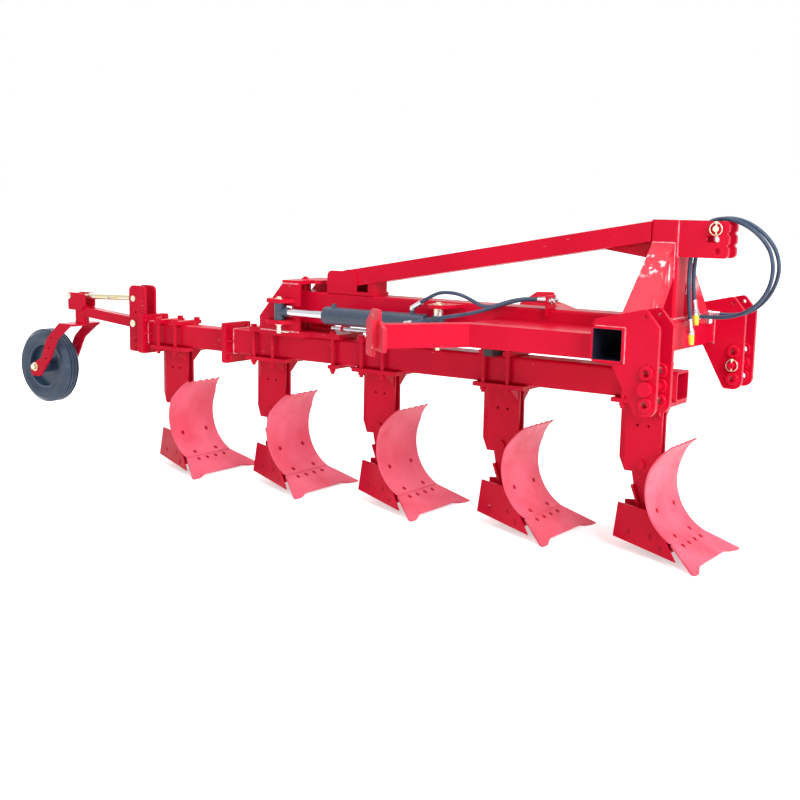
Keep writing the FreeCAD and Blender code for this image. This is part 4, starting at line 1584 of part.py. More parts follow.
def coupler(tag):
    """The ferrule and quick coupler that hang from a tractor hose, and the dust cap below."""
    last, further = hose_end("tractor_hose_" + tag)
    start = s.crimp_length + s.coupler_length
    body = aimed("coupler_body_" + tag,
                 [(0, 0), (s.crimp_radius, 0), (s.crimp_radius, s.crimp_length), (s.coupler_radius, s.crimp_length),
                  (s.coupler_radius, s.collar_start), (s.collar_radius, s.collar_start),
                  (s.collar_radius, s.collar_end), (s.coupler_radius, s.collar_end), (s.coupler_radius, start),
                  (0, start)], last, further)
    end = start + s.cap_length
    cap = aimed("cap_body_" + tag,
                [(0, start), (s.cap_lip_radius, start), (s.cap_lip_radius, start + s.cap_lip),
                 (s.cap_radius, start + s.cap_lip), (s.cap_tip_radius, end), (0, end)], last, further)
    return body, cap


def hoses():
    """The two tractor hoses, the two cylinder hoses and all their fittings."""
    for name in (*TRACTOR_ROUTES, *CYLINDER_ROUTES):
        hose(name)
    couplers = []
    caps = []
    for tag in ("near", "far"):
        body, cap = coupler(tag)
        couplers.append(body)
        caps.append(cap)
    node("hose_couplers", gather("coupler_pair", *couplers))
    node("dust_caps", gather("cap_pair", *caps))
    fixed = [cross_tube_elbow(tag) for tag in ("near", "far")]
    for tag in ("upper", "lower"):
        fixed.extend(bulkhead(tag))
    node("hose_fittings", gather("fitting_set", *fixed))
    reach = s.barrel_radius + s.port_height
    top = (s.port_rear_x, -s.cylinder_offset, s.cylinder_height + reach)
    side = (s.port_rear_x, -s.cylinder_offset - reach, s.cylinder_height)
    node("cylinder_fittings", gather("port_elbow_pair", barrel_elbow("upper", top, "Z"),
                                     barrel_elbow("lower", side, "Y")))


def check_and_write():
    """Recompute, test every object and shape, and write one file for each sub-part."""
    doc.recompute()
    faults = []
    for item in doc.Objects:
        if "Invalid" in item.State or "Error" in item.State:
            faults.append(item.Name + " state " + ",".join(item.State))
    for label, item in NODES.items():
        if item.Shape.isNull() or not item.Shape.isValid() or not item.Shape.Solids:
            faults.append(label + " has no sound shape")
    if faults:
        raise RuntimeError("; ".join(faults))
    os.makedirs("parts", exist_ok=True)
    for label, item in NODES.items():
        item.Shape.exportStep(os.path.join("parts", label + ".step"))
    print("sub-parts", len(NODES), "solids", sum(len(item.Shape.Solids) for item in NODES.values()))


beam_group()
fork_group()
rod_lugs()
cylinder_group()
spine_group()
headstock_group()
backstay_group()
stop_arms()
plough_bodies()
wheel_carrier()
turnbuckle()
castor()
hoses()
check_and_write()
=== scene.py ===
"""Blender scene of the reversible plough: finishes, hoses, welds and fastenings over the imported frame."""
import json
import logging
import math
from dataclasses import dataclass, field
from enum import Enum
from typing import ClassVar, Optional, Sequence

import bmesh
import bpy
from mathutils import Matrix, Vector
from mathutils.bvhtree import BVHTree


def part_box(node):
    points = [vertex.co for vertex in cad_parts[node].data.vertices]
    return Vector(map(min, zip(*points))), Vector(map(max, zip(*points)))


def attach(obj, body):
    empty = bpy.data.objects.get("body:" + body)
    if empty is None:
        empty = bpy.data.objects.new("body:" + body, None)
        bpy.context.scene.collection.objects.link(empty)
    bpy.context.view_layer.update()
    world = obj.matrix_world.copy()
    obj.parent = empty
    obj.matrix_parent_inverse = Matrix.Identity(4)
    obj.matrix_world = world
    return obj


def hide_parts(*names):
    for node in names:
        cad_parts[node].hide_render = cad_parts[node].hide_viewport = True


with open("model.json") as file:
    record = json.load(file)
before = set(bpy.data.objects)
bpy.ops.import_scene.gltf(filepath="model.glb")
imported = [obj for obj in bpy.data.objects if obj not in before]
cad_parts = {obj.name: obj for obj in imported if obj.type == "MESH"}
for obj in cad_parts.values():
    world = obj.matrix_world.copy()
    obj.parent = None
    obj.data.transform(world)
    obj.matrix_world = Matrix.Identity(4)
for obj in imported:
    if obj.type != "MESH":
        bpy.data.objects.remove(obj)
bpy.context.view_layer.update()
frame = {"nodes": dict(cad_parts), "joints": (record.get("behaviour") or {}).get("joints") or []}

Colour = tuple[float, float, float]
Point = tuple[float, float, float]
Profile = Sequence[tuple[float, float]]
Socket = bpy.types.NodeSocket

AHEAD = Vector((1.0, 0.0, 0.0))
DOWN = Vector((0.0, 0.0, -1.0))
SIDES = (-1.0, 1.0)

log = logging.getLogger("plough")


class Carrier(str, Enum):
    """The CAD bodies that pieces ride on."""

    FRAME = "frame"
    BEAM = "swing_beam"
    BARREL = "cylinder_barrel"
    ARM = "wheel_arm"


class Slot(str, Enum):
    """The record's material slots, which new pieces are labelled with; the objects are not given them."""

    RED = "red_paint"
    BLACK = "black_paint"
    ZINC = "zinc"
    YELLOW = "yellow_plastic"
    HOSE = "hose_rubber"


@dataclass(frozen=True)
class Scuffs:
    """Pale marks on a finish.

    Attributes:
        colour: colour of the marks.
        amount: how much of the surface they may take, from 0 to 1.
        scale: how fine they are.
        stretch: how they are drawn out along X, Y and Z; a small number is long.
        patch: size of the patches that hold them; a small number is large.
    """

    colour: Colour = (0.86, 0.74, 0.76)
    amount: float = 0.08
    scale: float = 30.0
    stretch: Point = (1.0, 1.0, 1.0)
    patch: float = 3.0


@dataclass(frozen=True)
class HollowShade:
    """Painted shade on the inside of an open tube.

    Attributes:
        centre: a point on the tube's middle line.
        half: half the inner width.
        colour: the colour of the painted shade.
    """

    centre: Point
    half: float
    colour: Colour = (0.012, 0.014, 0.03)


@dataclass(frozen=True)
class Finish:
    """How one kind of surface looks.

    Attributes:
        name: the material's name.
        colour: its main colour.
        drift: the colour that broad patches lean to.
        roughness: mean roughness.
        spread: how far the roughness goes up and down.
        metallic: 1 for bare metal.
        coat: weight of the clear coat.
        coat_roughness: roughness of the clear coat.
        gloss: level of the mirror reflection, 0.5 for plain plastic.
        patch_scale: how fine the colour's patches are.
        relief: strength of the fine relief.
        relief_scale: how fine the relief is.
        relief_stretch: how the relief is drawn out along X, Y and Z.
        scuffs: pale marks, if it has any.
    """

    name: str
    colour: Colour
    drift: Colour
    roughness: float
    spread: float = 0.08
    metallic: float = 0.0
    coat: float = 0.0
    coat_roughness: float = 0.12
    gloss: float = 0.5
    patch_scale: float = 2.2
    relief: float = 0.05
    relief_scale: float = 120.0
    relief_stretch: Point = (1.0, 1.0, 1.0)
    scuffs: Optional[Scuffs] = None


RED = Finish("red_enamel", (0.55, 0.002, 0.024), (0.64, 0.004, 0.03), 0.34, 0.07, coat=0.05, gloss=0.08,
             scuffs=Scuffs(amount=0.04, scale=55.0, stretch=(0.4, 1.0, 2.0)))
# Same red paint as the rest; the paler colour and paler patches of the boards are painted sheen for the bright
# reflections on their forward faces.
RED_WITH_PAINTED_SHEEN = Finish("red_plate_painted_sheen", (0.8, 0.085, 0.145), (0.9, 0.15, 0.23), 0.42, 0.1, coat=0.05, gloss=0.2,
                   coat_roughness=0.3, patch_scale=5.0, relief=0.08, relief_scale=60.0,
                   relief_stretch=(1.0, 0.12, 1.0), scuffs=Scuffs(amount=0.03, stretch=(1.0, 0.2, 2.0)))
RED_SCUFFED = Finish("red_scuffed", (0.64, 0.005, 0.03), (0.78, 0.03, 0.06), 0.34, 0.09, coat=0.1, gloss=0.15,
                     scuffs=Scuffs(colour=(0.9, 0.82, 0.85), amount=0.34, scale=14.0,
                                   stretch=(2.4, 2.4, 0.45), patch=5.0))
RED_WORN = Finish("red_worn", (0.62, 0.005, 0.03), (0.74, 0.03, 0.06), 0.4, 0.1, coat=0.06, gloss=0.15,
                  scuffs=Scuffs(amount=0.16, patch=7.0))
RED_SHADE = Finish("red_shade", (0.12, 0.0015, 0.012), (0.2, 0.002, 0.018), 0.6, 0.1, gloss=0.1)
# The beads are red paint; their paler colour and pale pink patches are painted highlights.
WELD_RED_WITH_PAINTED_HIGHLIGHTS = Finish("weld_red_painted_highlights", (0.72, 0.03, 0.07), (0.88, 0.3, 0.36), 0.16, 0.05, coat=0.8, gloss=0.8,
                  patch_scale=40.0, relief=0.2, relief_scale=260.0)
BLACK = Finish("black_enamel", (0.03, 0.045, 0.075), (0.05, 0.07, 0.11), 0.3, coat=0.3, gloss=0.3,
               relief=0.04, scuffs=Scuffs(colour=(0.3, 0.36, 0.44), amount=0.05, scale=70.0,
                                          stretch=(0.5, 1.0, 1.0)))
WHEEL_BLACK = Finish("wheel_black", (0.022, 0.045, 0.085), (0.035, 0.065, 0.12), 0.36, 0.1, coat=0.2,
                     gloss=0.3, relief=0.06, patch_scale=7.0,
                     scuffs=Scuffs(colour=(0.2, 0.26, 0.34), amount=0.05, scale=60.0))
CHROME = Finish("chrome", (0.72, 0.74, 0.77), (0.6, 0.62, 0.66), 0.14, 0.05, metallic=1.0, relief=0.02,
                relief_scale=320.0, relief_stretch=(4.0, 0.3, 0.3))
BRIGHT = Finish("bright_bar", (0.55, 0.57, 0.6), (0.4, 0.42, 0.46), 0.28, metallic=1.0, relief=0.03,
                relief_scale=300.0, relief_stretch=(0.1, 3.0, 3.0))
ZINC = Finish("zinc_plate", (0.66, 0.65, 0.6), (0.72, 0.62, 0.38), 0.32, 0.1, metallic=1.0,
              patch_scale=24.0, relief=0.04, relief_scale=420.0)
GOLD_ZINC = Finish("yellow_zinc", (0.72, 0.6, 0.34), (0.66, 0.64, 0.56), 0.3, 0.1, metallic=1.0,
                   patch_scale=30.0, relief=0.03, relief_scale=420.0)
STEEL = Finish("ferrule_steel", (0.7, 0.71, 0.72), (0.55, 0.57, 0.6), 0.26, metallic=1.0, patch_scale=40.0,
               relief=0.03, relief_scale=500.0)
HOSE = Finish("hose_cover", (0.025, 0.045, 0.085), (0.045, 0.075, 0.13), 0.42, gloss=0.35,
              patch_scale=16.0, relief=0.18, relief_scale=700.0)
TYRE = Finish("tyre", (0.02, 0.038, 0.07), (0.04, 0.065, 0.11), 0.4, 0.12, gloss=0.4, patch_scale=8.0,
              relief=0.12, relief_scale=240.0,
              scuffs=Scuffs(colour=(0.25, 0.3, 0.36), amount=0.06, scale=40.0))
STOP = Finish("stop_rubber", (0.02, 0.02, 0.022), (0.05, 0.05, 0.05), 0.7, 0.1, relief=0.15,
              relief_scale=200.0)
YELLOW = Finish("cap_plastic", (0.86, 0.62, 0.02), (0.9, 0.7, 0.08), 0.4, 0.06, patch_scale=30.0,
                relief_scale=300.0)
FLOOR = Finish("floor", (0.92, 0.92, 0.92), (0.93, 0.93, 0.93), 0.9, 0.02, relief=0.0)


class NodeKit:
    """Adds nodes to the tree of one material, or of the world, and joins them."""

    def __init__(self, tree: bpy.types.NodeTree) -> None:
        """Keep the tree to work on."""
        self.tree = tree

    def new(self, kind: str) -> bpy.types.Node:
        """Add a shader node of a kind."""
        return self.tree.nodes.new("ShaderNode" + kind)

    def join(self, value: object, socket: Socket) -> None:
        """Set an input to a number or a colour, or link a socket to it.

        Args:
            value: a number, a colour or an output.
            socket: the input.
        """
        if isinstance(value, tuple):
            socket.default_value = (*value, 1.0)
        elif isinstance(value, (int, float)):
            socket.default_value = value
        else:
            self.tree.links.new(value, socket)

    def noise(self, place: Socket, scale: float, detail: float) -> Socket:
        """Add a noise texture.

        Args:
            place: coordinates.
            scale: how fine it is.
            detail: how much detail it has.

        Returns:
            Its value.
        """
        node = self.new("TexNoise")
        self.join(scale, node.inputs["Scale"])
        self.join(detail, node.inputs["Detail"])
        self.join(place, node.inputs["Vector"])
        return node.outputs["Fac"]

    def stretched(self, place: Socket, stretch: Point) -> Socket:
        """Scale coordinates along X, Y and Z.

        Args:
            place: coordinates.
            stretch: the three factors.

        Returns:
            The scaled coordinates.
        """
        node = self.new("Mapping")
        node.inputs["Scale"].default_value = stretch
        self.join(place, node.inputs["Vector"])
        return node.outputs["Vector"]

    def ramp(self, value: Socket, band: tuple[float, float], low: float = 0.0, high: float = 1.0) -> Socket:
        """Map a band of values onto a range and clamp what is outside.

        Args:
            value: the value.
            band: its least and greatest number.
            low: the result at the least.
            high: the result at the greatest.

        Returns:
            The result.
        """
        node = self.new("MapRange")
        for name, number in (("From Min", band[0]), ("From Max", band[1]), ("To Min", low), ("To Max", high)):
            self.join(number, node.inputs[name])
        self.join(value, node.inputs["Value"])
        return node.outputs["Result"]

    def mix(self, factor: Socket, first: object, second: object) -> Socket:
        """Mix two colours.

        Args:
            factor: 0 for the first and 1 for the second.
            first: a colour or an output.
            second: a colour or an output.

        Returns:
            The mixed colour.
        """
        node = self.new("Mix")
        node.data_type = "RGBA"
        for name, value in (("Factor", factor), ("A", first), ("B", second)):
            self.join(value, node.inputs[name])
        return node.outputs["Result"]

    def compute(self, operation: str, *values: object) -> Socket:
        """Add a Math node.

        Args:
            operation: what it computes.
            values: its numbers or outputs.

        Returns:
            The result.
        """
        node = self.new("Math")
        node.operation = operation
        for value, socket in zip(values, node.inputs):
            self.join(value, socket)
        return node.outputs["Value"]


@dataclass(frozen=True)
class Grain:
    """Numbers that the patterns of all finishes share.

    Attributes:
        drift_band: noise over which the colour goes to its drift.
        drift_detail: detail of that noise.
        rough_band: noise over which the roughness goes from least to most.
        rough_detail: detail of that noise.
        rough_fineness: how much finer it is than the colour's.
        relief_detail: detail of the relief.
        relief_depth: depth of the relief in metres.
        scuff_detail: detail of the pale marks.
        scuff_limit: noise above which marks of no amount begin.
        scuff_reach: how far the whole amount brings that down.
        scuff_edge: width of a mark's soft edge.
        scuff_cover: how far a mark covers the colour.
        scuff_dull: how much rougher a mark is.
        patch_band: noise over which the patches of marks begin.
        patch_detail: detail of that noise.
    """

    drift_band: tuple[float, float] = (0.36, 0.66)
    drift_detail: float = 3.0
    rough_band: tuple[float, float] = (0.3, 0.7)
    rough_detail: float = 4.0
    rough_fineness: float = 5.0
    relief_detail: float = 2.0
    relief_depth: float = 0.002
    scuff_detail: float = 8.0
    scuff_limit: float = 0.74
    scuff_reach: float = 0.5
    scuff_edge: float = 0.05
    scuff_cover: float = 0.85
    scuff_dull: float = 0.25
    patch_band: tuple[float, float] = (0.5, 0.6)
    patch_detail: float = 2.0


class FinishShop:
    """Makes the procedural material of each finish once."""

    def __init__(self, grain: Grain = Grain()) -> None:
        """Start with no material made."""
        self.grain = grain
        self._made: dict[str, bpy.types.Material] = {}

    def material(self, finish: Finish, hollow_shade: Optional[HollowShade] = None) -> bpy.types.Material:
        """Give the material of a finish.

        Args:
            finish: the finish.
            hollow_shade: the painted shade of an open tube's inside, if the piece has one.

        Returns:
            The material, made on first use.
        """
        name = finish.name + ("_painted_shade" if hollow_shade else "")
        if name not in self._made:
            self._made[name] = self._make(name, finish, hollow_shade)
        return self._made[name]

    def _make(self, name: str, finish: Finish, hollow_shade: Optional[HollowShade]) -> bpy.types.Material:
        """Make the material of a finish.

        Args:
            name: the material's name.
            finish: the finish.
            hollow_shade: the painted shade of an open tube's inside, if the piece has one.

        Returns:
            The material.
        """
        material = bpy.data.materials.new(name)
        material.use_nodes = True
        material.diffuse_color = (*finish.colour, 1.0)
        kit, grain = NodeKit(material.node_tree), self.grain
        shader = kit.tree.nodes["Principled BSDF"]
        shader.inputs["Metallic"].default_value = finish.metallic
        shader.inputs["Coat Weight"].default_value = finish.coat
        shader.inputs["Coat Roughness"].default_value = finish.coat_roughness
        shader.inputs["Specular IOR Level"].default_value = finish.gloss
        place = kit.new("TexCoord").outputs["Object"]
        patches = kit.ramp(kit.noise(place, finish.patch_scale, grain.drift_detail), grain.drift_band)
        colour = kit.mix(patches, finish.colour, finish.drift)
        uneven = kit.noise(place, finish.patch_scale * grain.rough_fineness, grain.rough_detail)
        rough = kit.ramp(uneven, grain.rough_band, finish.roughness - finish.spread,
                         finish.roughness + finish.spread)
        if finish.scuffs:
            marks = self._marks(kit, place, finish.scuffs)
            colour = kit.mix(marks, colour, finish.scuffs.colour)
            rough = kit.compute("ADD", rough, kit.compute("MULTIPLY", marks, grain.scuff_dull))
        # Painted shade: the inside of the open tube is darkened.
        if hollow_shade:
            colour = kit.mix(self._hollow_shade_mask(kit, place, hollow_shade), colour, hollow_shade.colour)
        kit.join(colour, shader.inputs["Base Color"])
        kit.join(rough, shader.inputs["Roughness"])
        if finish.relief:
            bump = kit.new("Bump")
            bump.inputs["Strength"].default_value = finish.relief
            bump.inputs["Distance"].default_value = grain.relief_depth
            drawn_out = kit.stretched(place, finish.relief_stretch)
            kit.join(kit.noise(drawn_out, finish.relief_scale, grain.relief_detail), bump.inputs["Height"])
            kit.join(bump.outputs["Normal"], shader.inputs["Normal"])
        return material

    def _marks(self, kit: NodeKit, place: Socket, scuffs: Scuffs) -> Socket:
        """Make the mask of the pale marks.

        Args:
            kit: nodes of the material.
            place: coordinates.
            scuffs: the marks.

        Returns:
            The mask.
        """
        grain = self.grain
        fine = kit.noise(kit.stretched(place, scuffs.stretch), scuffs.scale, grain.scuff_detail)
        limit = grain.scuff_limit - scuffs.amount * grain.scuff_reach
        marks = kit.ramp(fine, (limit, limit + grain.scuff_edge), 0.0, grain.scuff_cover)
        broad = kit.ramp(kit.noise(place, scuffs.patch, grain.patch_detail), grain.patch_band)
        return kit.compute("MULTIPLY", marks, broad)

    @staticmethod
    def _hollow_shade_mask(kit: NodeKit, place: Socket, hollow_shade: HollowShade) -> Socket:
        """Make the mask of the painted shade inside a square tube.

        Args:
            kit: nodes of the material.
            place: coordinates.
            hollow_shade: the painted shade of the inside, along Y.

        Returns:
            The mask.
        """
        split = kit.new("SeparateXYZ")
        kit.join(place, split.inputs["Vector"])
        across = kit.compute("ABSOLUTE", kit.compute("SUBTRACT", split.outputs["X"], hollow_shade.centre[0]))
        up = kit.compute("ABSOLUTE", kit.compute("SUBTRACT", split.outputs["Z"], hollow_shade.centre[2]))
        return kit.compute("LESS_THAN", kit.compute("MAXIMUM", across, up), hollow_shade.half)


SHOP = FinishShop()


@dataclass
class Layout:
    """Places that the scene takes from the frame.

    Attributes:
        pivot_x: place of the swing pivot along the machine.
        body_spacing: distance from one plough body to the next.
        first_body: place of the rear body from the pivot.
        bodies: number of plough bodies.
    """

    pivot_x: float
    body_spacing: float = 0.7
    first_body: float = -0.98
    bodies: int = 5

    @classmethod
    def from_frame(cls) -> "Layout":
        """Read the pivot's place from the swing joint."""
        swing = next(joint for joint in frame["joints"] if joint["name"] == "beam_swing")
        return cls(pivot_x=float(swing["pos_m"][0]))

    def at(self, x: float, y: float, z: float) -> Vector:
        """Turn millimetres ahead, to the left and up from the pivot's line on the ground into metres."""
        return Vector((self.pivot_x + x / 1000.0, y / 1000.0, z / 1000.0))

    def body_x(self, count: int) -> float:
        """Give the place along X of a plough body, 0 at the rear."""
        return self.pivot_x + self.first_body + self.body_spacing * count


def add_object(name: str, data: bpy.types.ID) -> bpy.types.Object:
    """Make an object and link it into the scene.

    Args:
        name: its name.
        data: its mesh, curve, camera or light.

    Returns:
        The object.
    """
    item = bpy.data.objects.new(name, data)
    bpy.context.scene.collection.objects.link(item)
    return item


@dataclass(frozen=True)
class Ripple:
    """How a weld bead swells along its run.

    Attributes:
        pitch: distance from one ring of points to the next.
        corners: points of a ring.
        least: least radius, as a share of the bead's.
        coarse: how much the coarse ripple adds.
        coarse_turn: its angle from ring to ring.
        fine: how much the fine ripple adds.
        fine_turn: its angle from ring to ring.
        leap: rings further apart than so many radii aren't joined.
    """

    pitch: float = 0.0035
    corners: int = 7
    least: float = 0.82
    coarse: float = 0.22
    coarse_turn: float = 1.05
    fine: float = 0.06
    fine_turn: float = 0.37
    leap: float = 3.0

    def swell(self, count: int) -> float:
        """Give the share of the bead's radius at a ring."""
        return (self.least + self.coarse * abs(math.sin(count * self.coarse_turn))
                + self.fine * math.sin(count * self.fine_turn))


@dataclass
class Piece:
    """A mesh made in code that rides on one body.

    Attributes:
        name: the object's name.
        carrier: the body that it rides on.
        slot: its material slot.
        finish: how it looks.
        mesh: the mesh as it grows.
    """

    name: str
    carrier: Carrier
    slot: Slot
    finish: Finish
    mesh: bmesh.types.BMesh = field(default_factory=bmesh.new)

    def lathe(self, profile: Profile, start: Vector, towards: Vector, steps: int = 24) -> None:
        """Add a turned shape.

        Args:
            profile: radius and height pairs from one end to the other.
            start: where height 0 lies.
            towards: the direction of the axis.
            steps: number of flats round it.
        """
        part = bmesh.new()
        line = [part.verts.new((radius, 0.0, height)) for radius, height in profile]
        edges = [part.edges.new(pair) for pair in zip(line, line[1:])]
        bmesh.ops.spin(part, geom=line + edges, cent=(0, 0, 0), axis=(0, 0, 1), angle=math.tau, steps=steps,
                       use_merge=True)
        bmesh.ops.remove_doubles(part, verts=part.verts, dist=1e-6)
        self._add(part, start, towards)

    def hexagon(self, size: tuple[float, float], start: Vector, towards: Vector,
                chamfer: float = 0.0012) -> None:
        """Add a bevelled hexagon head or nut.

        Args:
            size: radius to the corners, and height.
            start: middle of its lower face.
            towards: the direction of its axis.
            chamfer: size of the bevel at its ends.
        """
        radius, height = size
        part = bmesh.new()
        bmesh.ops.create_cone(part, cap_ends=True, segments=6, radius1=radius, radius2=radius, depth=height,
                              matrix=Matrix.Translation((0, 0, height / 2)))
        bmesh.ops.bevel(part, geom=part.edges[:], offset=chamfer, segments=2, profile=0.5, affect="EDGES",
                        material=-1)
        self._add(part, start, towards)

    def bead(self, points: Sequence[Vector], radius: float, closed: bool = False,
             ripple: Ripple = Ripple()) -> None:
        """Add a weld bead: a rippled tube along straight stretches.

        Args:
            points: corners of the seam.
            radius: radius of the bead.
            closed: whether the seam comes back to its start.
            ripple: how it swells.
        """
        route = list(points) + ([points[0]] if closed else [])
        places: list[tuple[Vector, Vector]] = []
        for start, end in zip(route, route[1:]):
            run = end - start
            count = max(3, int(run.length / ripple.pitch))
            direction = run.normalized()
            places.extend((start + run * (step / count), direction) for step in range(count + 1))
        turns = [math.tau * corner / ripple.corners for corner in range(ripple.corners)]
        rings = []
        for count, (place, direction) in enumerate(places):
            width = radius * ripple.swell(count)
            across = direction.orthogonal().normalized()
            other = direction.cross(across)
            spokes = [across * math.cos(turn) + other * math.sin(turn) for turn in turns]
            rings.append([self.mesh.verts.new(place + spoke * width) for spoke in spokes])
        for one, two in zip(rings, rings[1:]):
            if (one[0].co - two[0].co).length > radius * ripple.leap:
                continue
            for corner in range(ripple.corners):
                after = (corner + 1) % ripple.corners
                self.mesh.faces.new((one[corner], one[after], two[after], two[corner]))
        self.mesh.faces.new(rings[0])
        self.mesh.faces.new(rings[-1])

    def finished(self, smooth: float = 40.0) -> bpy.types.Object:
        """Make the object, give it its material and set it on its body.

        Args:
            smooth: greatest angle in degrees that is shaded smooth.

        Returns:
            The object.
        """
        bmesh.ops.recalc_face_normals(self.mesh, faces=self.mesh.faces[:])
        data = bpy.data.meshes.new(self.name)
        self.mesh.to_mesh(data)
        self.mesh.free()
        data.shade_smooth()
        data.set_sharp_from_angle(angle=math.radians(smooth))
        item = add_object(self.name, data)
        data.materials.append(SHOP.material(self.finish))
        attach(item, self.carrier.value)
        return item

    def _add(self, part: bmesh.types.BMesh, start: Vector, towards: Vector) -> None:
        """Put a part into the mesh.

        Args:
            part: the part, made along Z from the origin.
            start: where its origin goes.
            towards: where its Z axis points.
        """
        turn = towards.to_track_quat("Z", "Y").to_matrix().to_4x4()
        part.transform(Matrix.Translation(start) @ turn)
        scratch = bpy.data.meshes.new("scratch")
        part.to_mesh(scratch)
        part.free()
        self.mesh.from_mesh(scratch)
        bpy.data.meshes.remove(scratch)


@dataclass(frozen=True)
class Hose:
    """A hydraulic hose along the route of its CAD tube.

    Attributes:
        name: name of the CAD node that it replaces.
        points: the route in millimetres from the pivot.
        length: its real length in metres.
        far_end: what is on its far end.
        radius: its radius in metres.
        round_steps: how finely it is rounded.
        run_steps: how finely its run is divided between two points.
        order: order of its curve.
    """

    name: str
    points: tuple[Point, ...]
    length: float
    far_end: str
    radius: float = 0.0085
    round_steps: int = 6
    run_steps: int = 10
    order: int = 3

    def build(self, layout: Layout) -> bpy.types.Object:
        """Make the hose as one smooth curve.

        Args:
            layout: places of the frame.

        Returns:
            The curve object.
        """
        data = bpy.data.curves.new(self.name + "_cover", "CURVE")
        data.dimensions = "3D"
        data.bevel_depth = self.radius
        data.bevel_resolution = self.round_steps
        data.use_fill_caps = True
        data.resolution_u = self.run_steps
        spline = data.splines.new("NURBS")
        spline.points.add(len(self.points) - 1)
        for target, place in zip(spline.points, self.points):
            target.co = (*layout.at(*place), 1.0)
        spline.order_u = self.order
        spline.use_endpoint_u = True
        item = add_object(self.name + "_cover", data)
        data.materials.append(SHOP.material(HOSE))
        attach(item, Carrier.FRAME.value)
        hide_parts(self.name)
        return item

    def declare(self, item: bpy.types.Object, layout: Layout, lay: str, pieces: Sequence[object] = ()) -> None:
        """Work out the place of the hose's first point, and nothing more.

        Args:
            item: the curve; not used.
            layout: places of the frame.
            lay: how it lies; not used.
            pieces: the separate pieces on it; not used.
        """
        tuple(layout.at(*self.points[0]))


NEAR_HOSE = Hose("tractor_hose_near", (
    (2101, 53, 1034), (2166, 53, 1034), (2236, 49, 1041), (2305, 42, 1066), (2362, 34, 1112),
    (2400, 26, 1178), (2412, 17, 1254), (2396, 8, 1328), (2348, 0, 1388), (2284, -7, 1430),
    (2216, -12, 1450), (2150, -14, 1440), (2100, -15, 1394), (2078, -17, 1330), (2071, -20, 1260),
    (2071, -23, 1184), (2077, -25, 1104), (2087, -27, 1026)), 1.236, "connector")
FAR_HOSE = Hose("tractor_hose_far", (
    (2101, 290, 1028), (2158, 290, 1028), (2222, 268, 1040), (2286, 228, 1072), (2344, 186, 1122),
    (2386, 146, 1184), (2408, 108, 1252), (2402, 72, 1322), (2364, 44, 1384), (2304, 26, 1430),
    (2236, 17, 1451), (2168, 14, 1445), (2114, 13, 1402), (2090, 12, 1340), (2081, 12, 1278),
    (2077, 12, 1218), (2079, 12, 1161), (2086, 13, 1106)), 1.197, "connector")
UPPER_HOSE = Hose("cylinder_hose_upper", (
    (840, -185, 1030), (880, -185, 1054), (934, -184, 1079), (986, -178, 1084), (1040, -164, 1076),
    (1088, -144, 1052), (1130, -126, 1026), (1180, -112, 1025), (1232, -90, 1048), (1286, -54, 1064),
    (1340, -30, 1068), (1390, -30, 1068)), 0.609, "object")
LOWER_HOSE = Hose("cylinder_hose_lower", (
    (840, -254, 939), (890, -254, 947), (949, -254, 961), (1008, -252, 975), (1068, -240, 986),
    (1124, -214, 998), (1178, -180, 1014), (1232, -139, 1037), (1286, -98, 1058), (1340, -70, 1068),
    (1390, -70, 1068)), 0.613, "object")
TRACTOR_HOSES = (NEAR_HOSE, FAR_HOSE)
CYLINDER_HOSES = (UPPER_HOSE, LOWER_HOSE)


@dataclass(frozen=True)
class Crimps:
    """A row of crimped rings on a ferrule.

    Attributes:
        radius: radius of the ferrule.
        first: place of the first ring, ahead of the point that the row is given.
        pitch: distance from one ring to the next.
        count: number of rings.
        flats: number of flats round a ring.
    """

    RING: ClassVar[Profile] = (
        (-0.001, 0.0), (0.0003, 0.0006), (0.0006, 0.002), (0.0003, 0.0034), (-0.001, 0.004))

    radius: float
    first: float
    pitch: float = 0.007
    count: int = 5
    flats: int = 28

    def press(self, piece: Piece, start: Vector, aim: Vector) -> None:
        """Add the rings to a piece.

        Args:
            piece: the piece.
            start: the point that the row is placed from.
            aim: direction of the ferrule.
        """
        profile = [(self.radius + proud, height) for proud, height in self.RING]
        for step in range(self.count):
            piece.lathe(profile, start + aim * (self.first + self.pitch * step), aim, self.flats)


@dataclass(frozen=True)
class Ribbed:
    """A turned profile with equal ribs between its two ends.

    Attributes:
        start: radius and height pairs before the ribs.
        rib: pairs of the first rib, with heights from its foot.
        end: pairs after the ribs.
        first: height of the first rib's foot.
        pitch: distance from one rib to the next.
        count: number of ribs.
        taper: how much narrower each rib is than the one before it.
    """

    start: Profile
    rib: Profile
    end: Profile
    first: float
    pitch: float
    count: int
    taper: float = 0.0

    def points(self) -> Profile:
        """Give the whole profile."""
        ribs = [(radius - self.taper * step, self.first + self.pitch * step + height)
                for step in range(self.count) for radius, height in self.rib]
        return [*self.start, *ribs, *self.end]


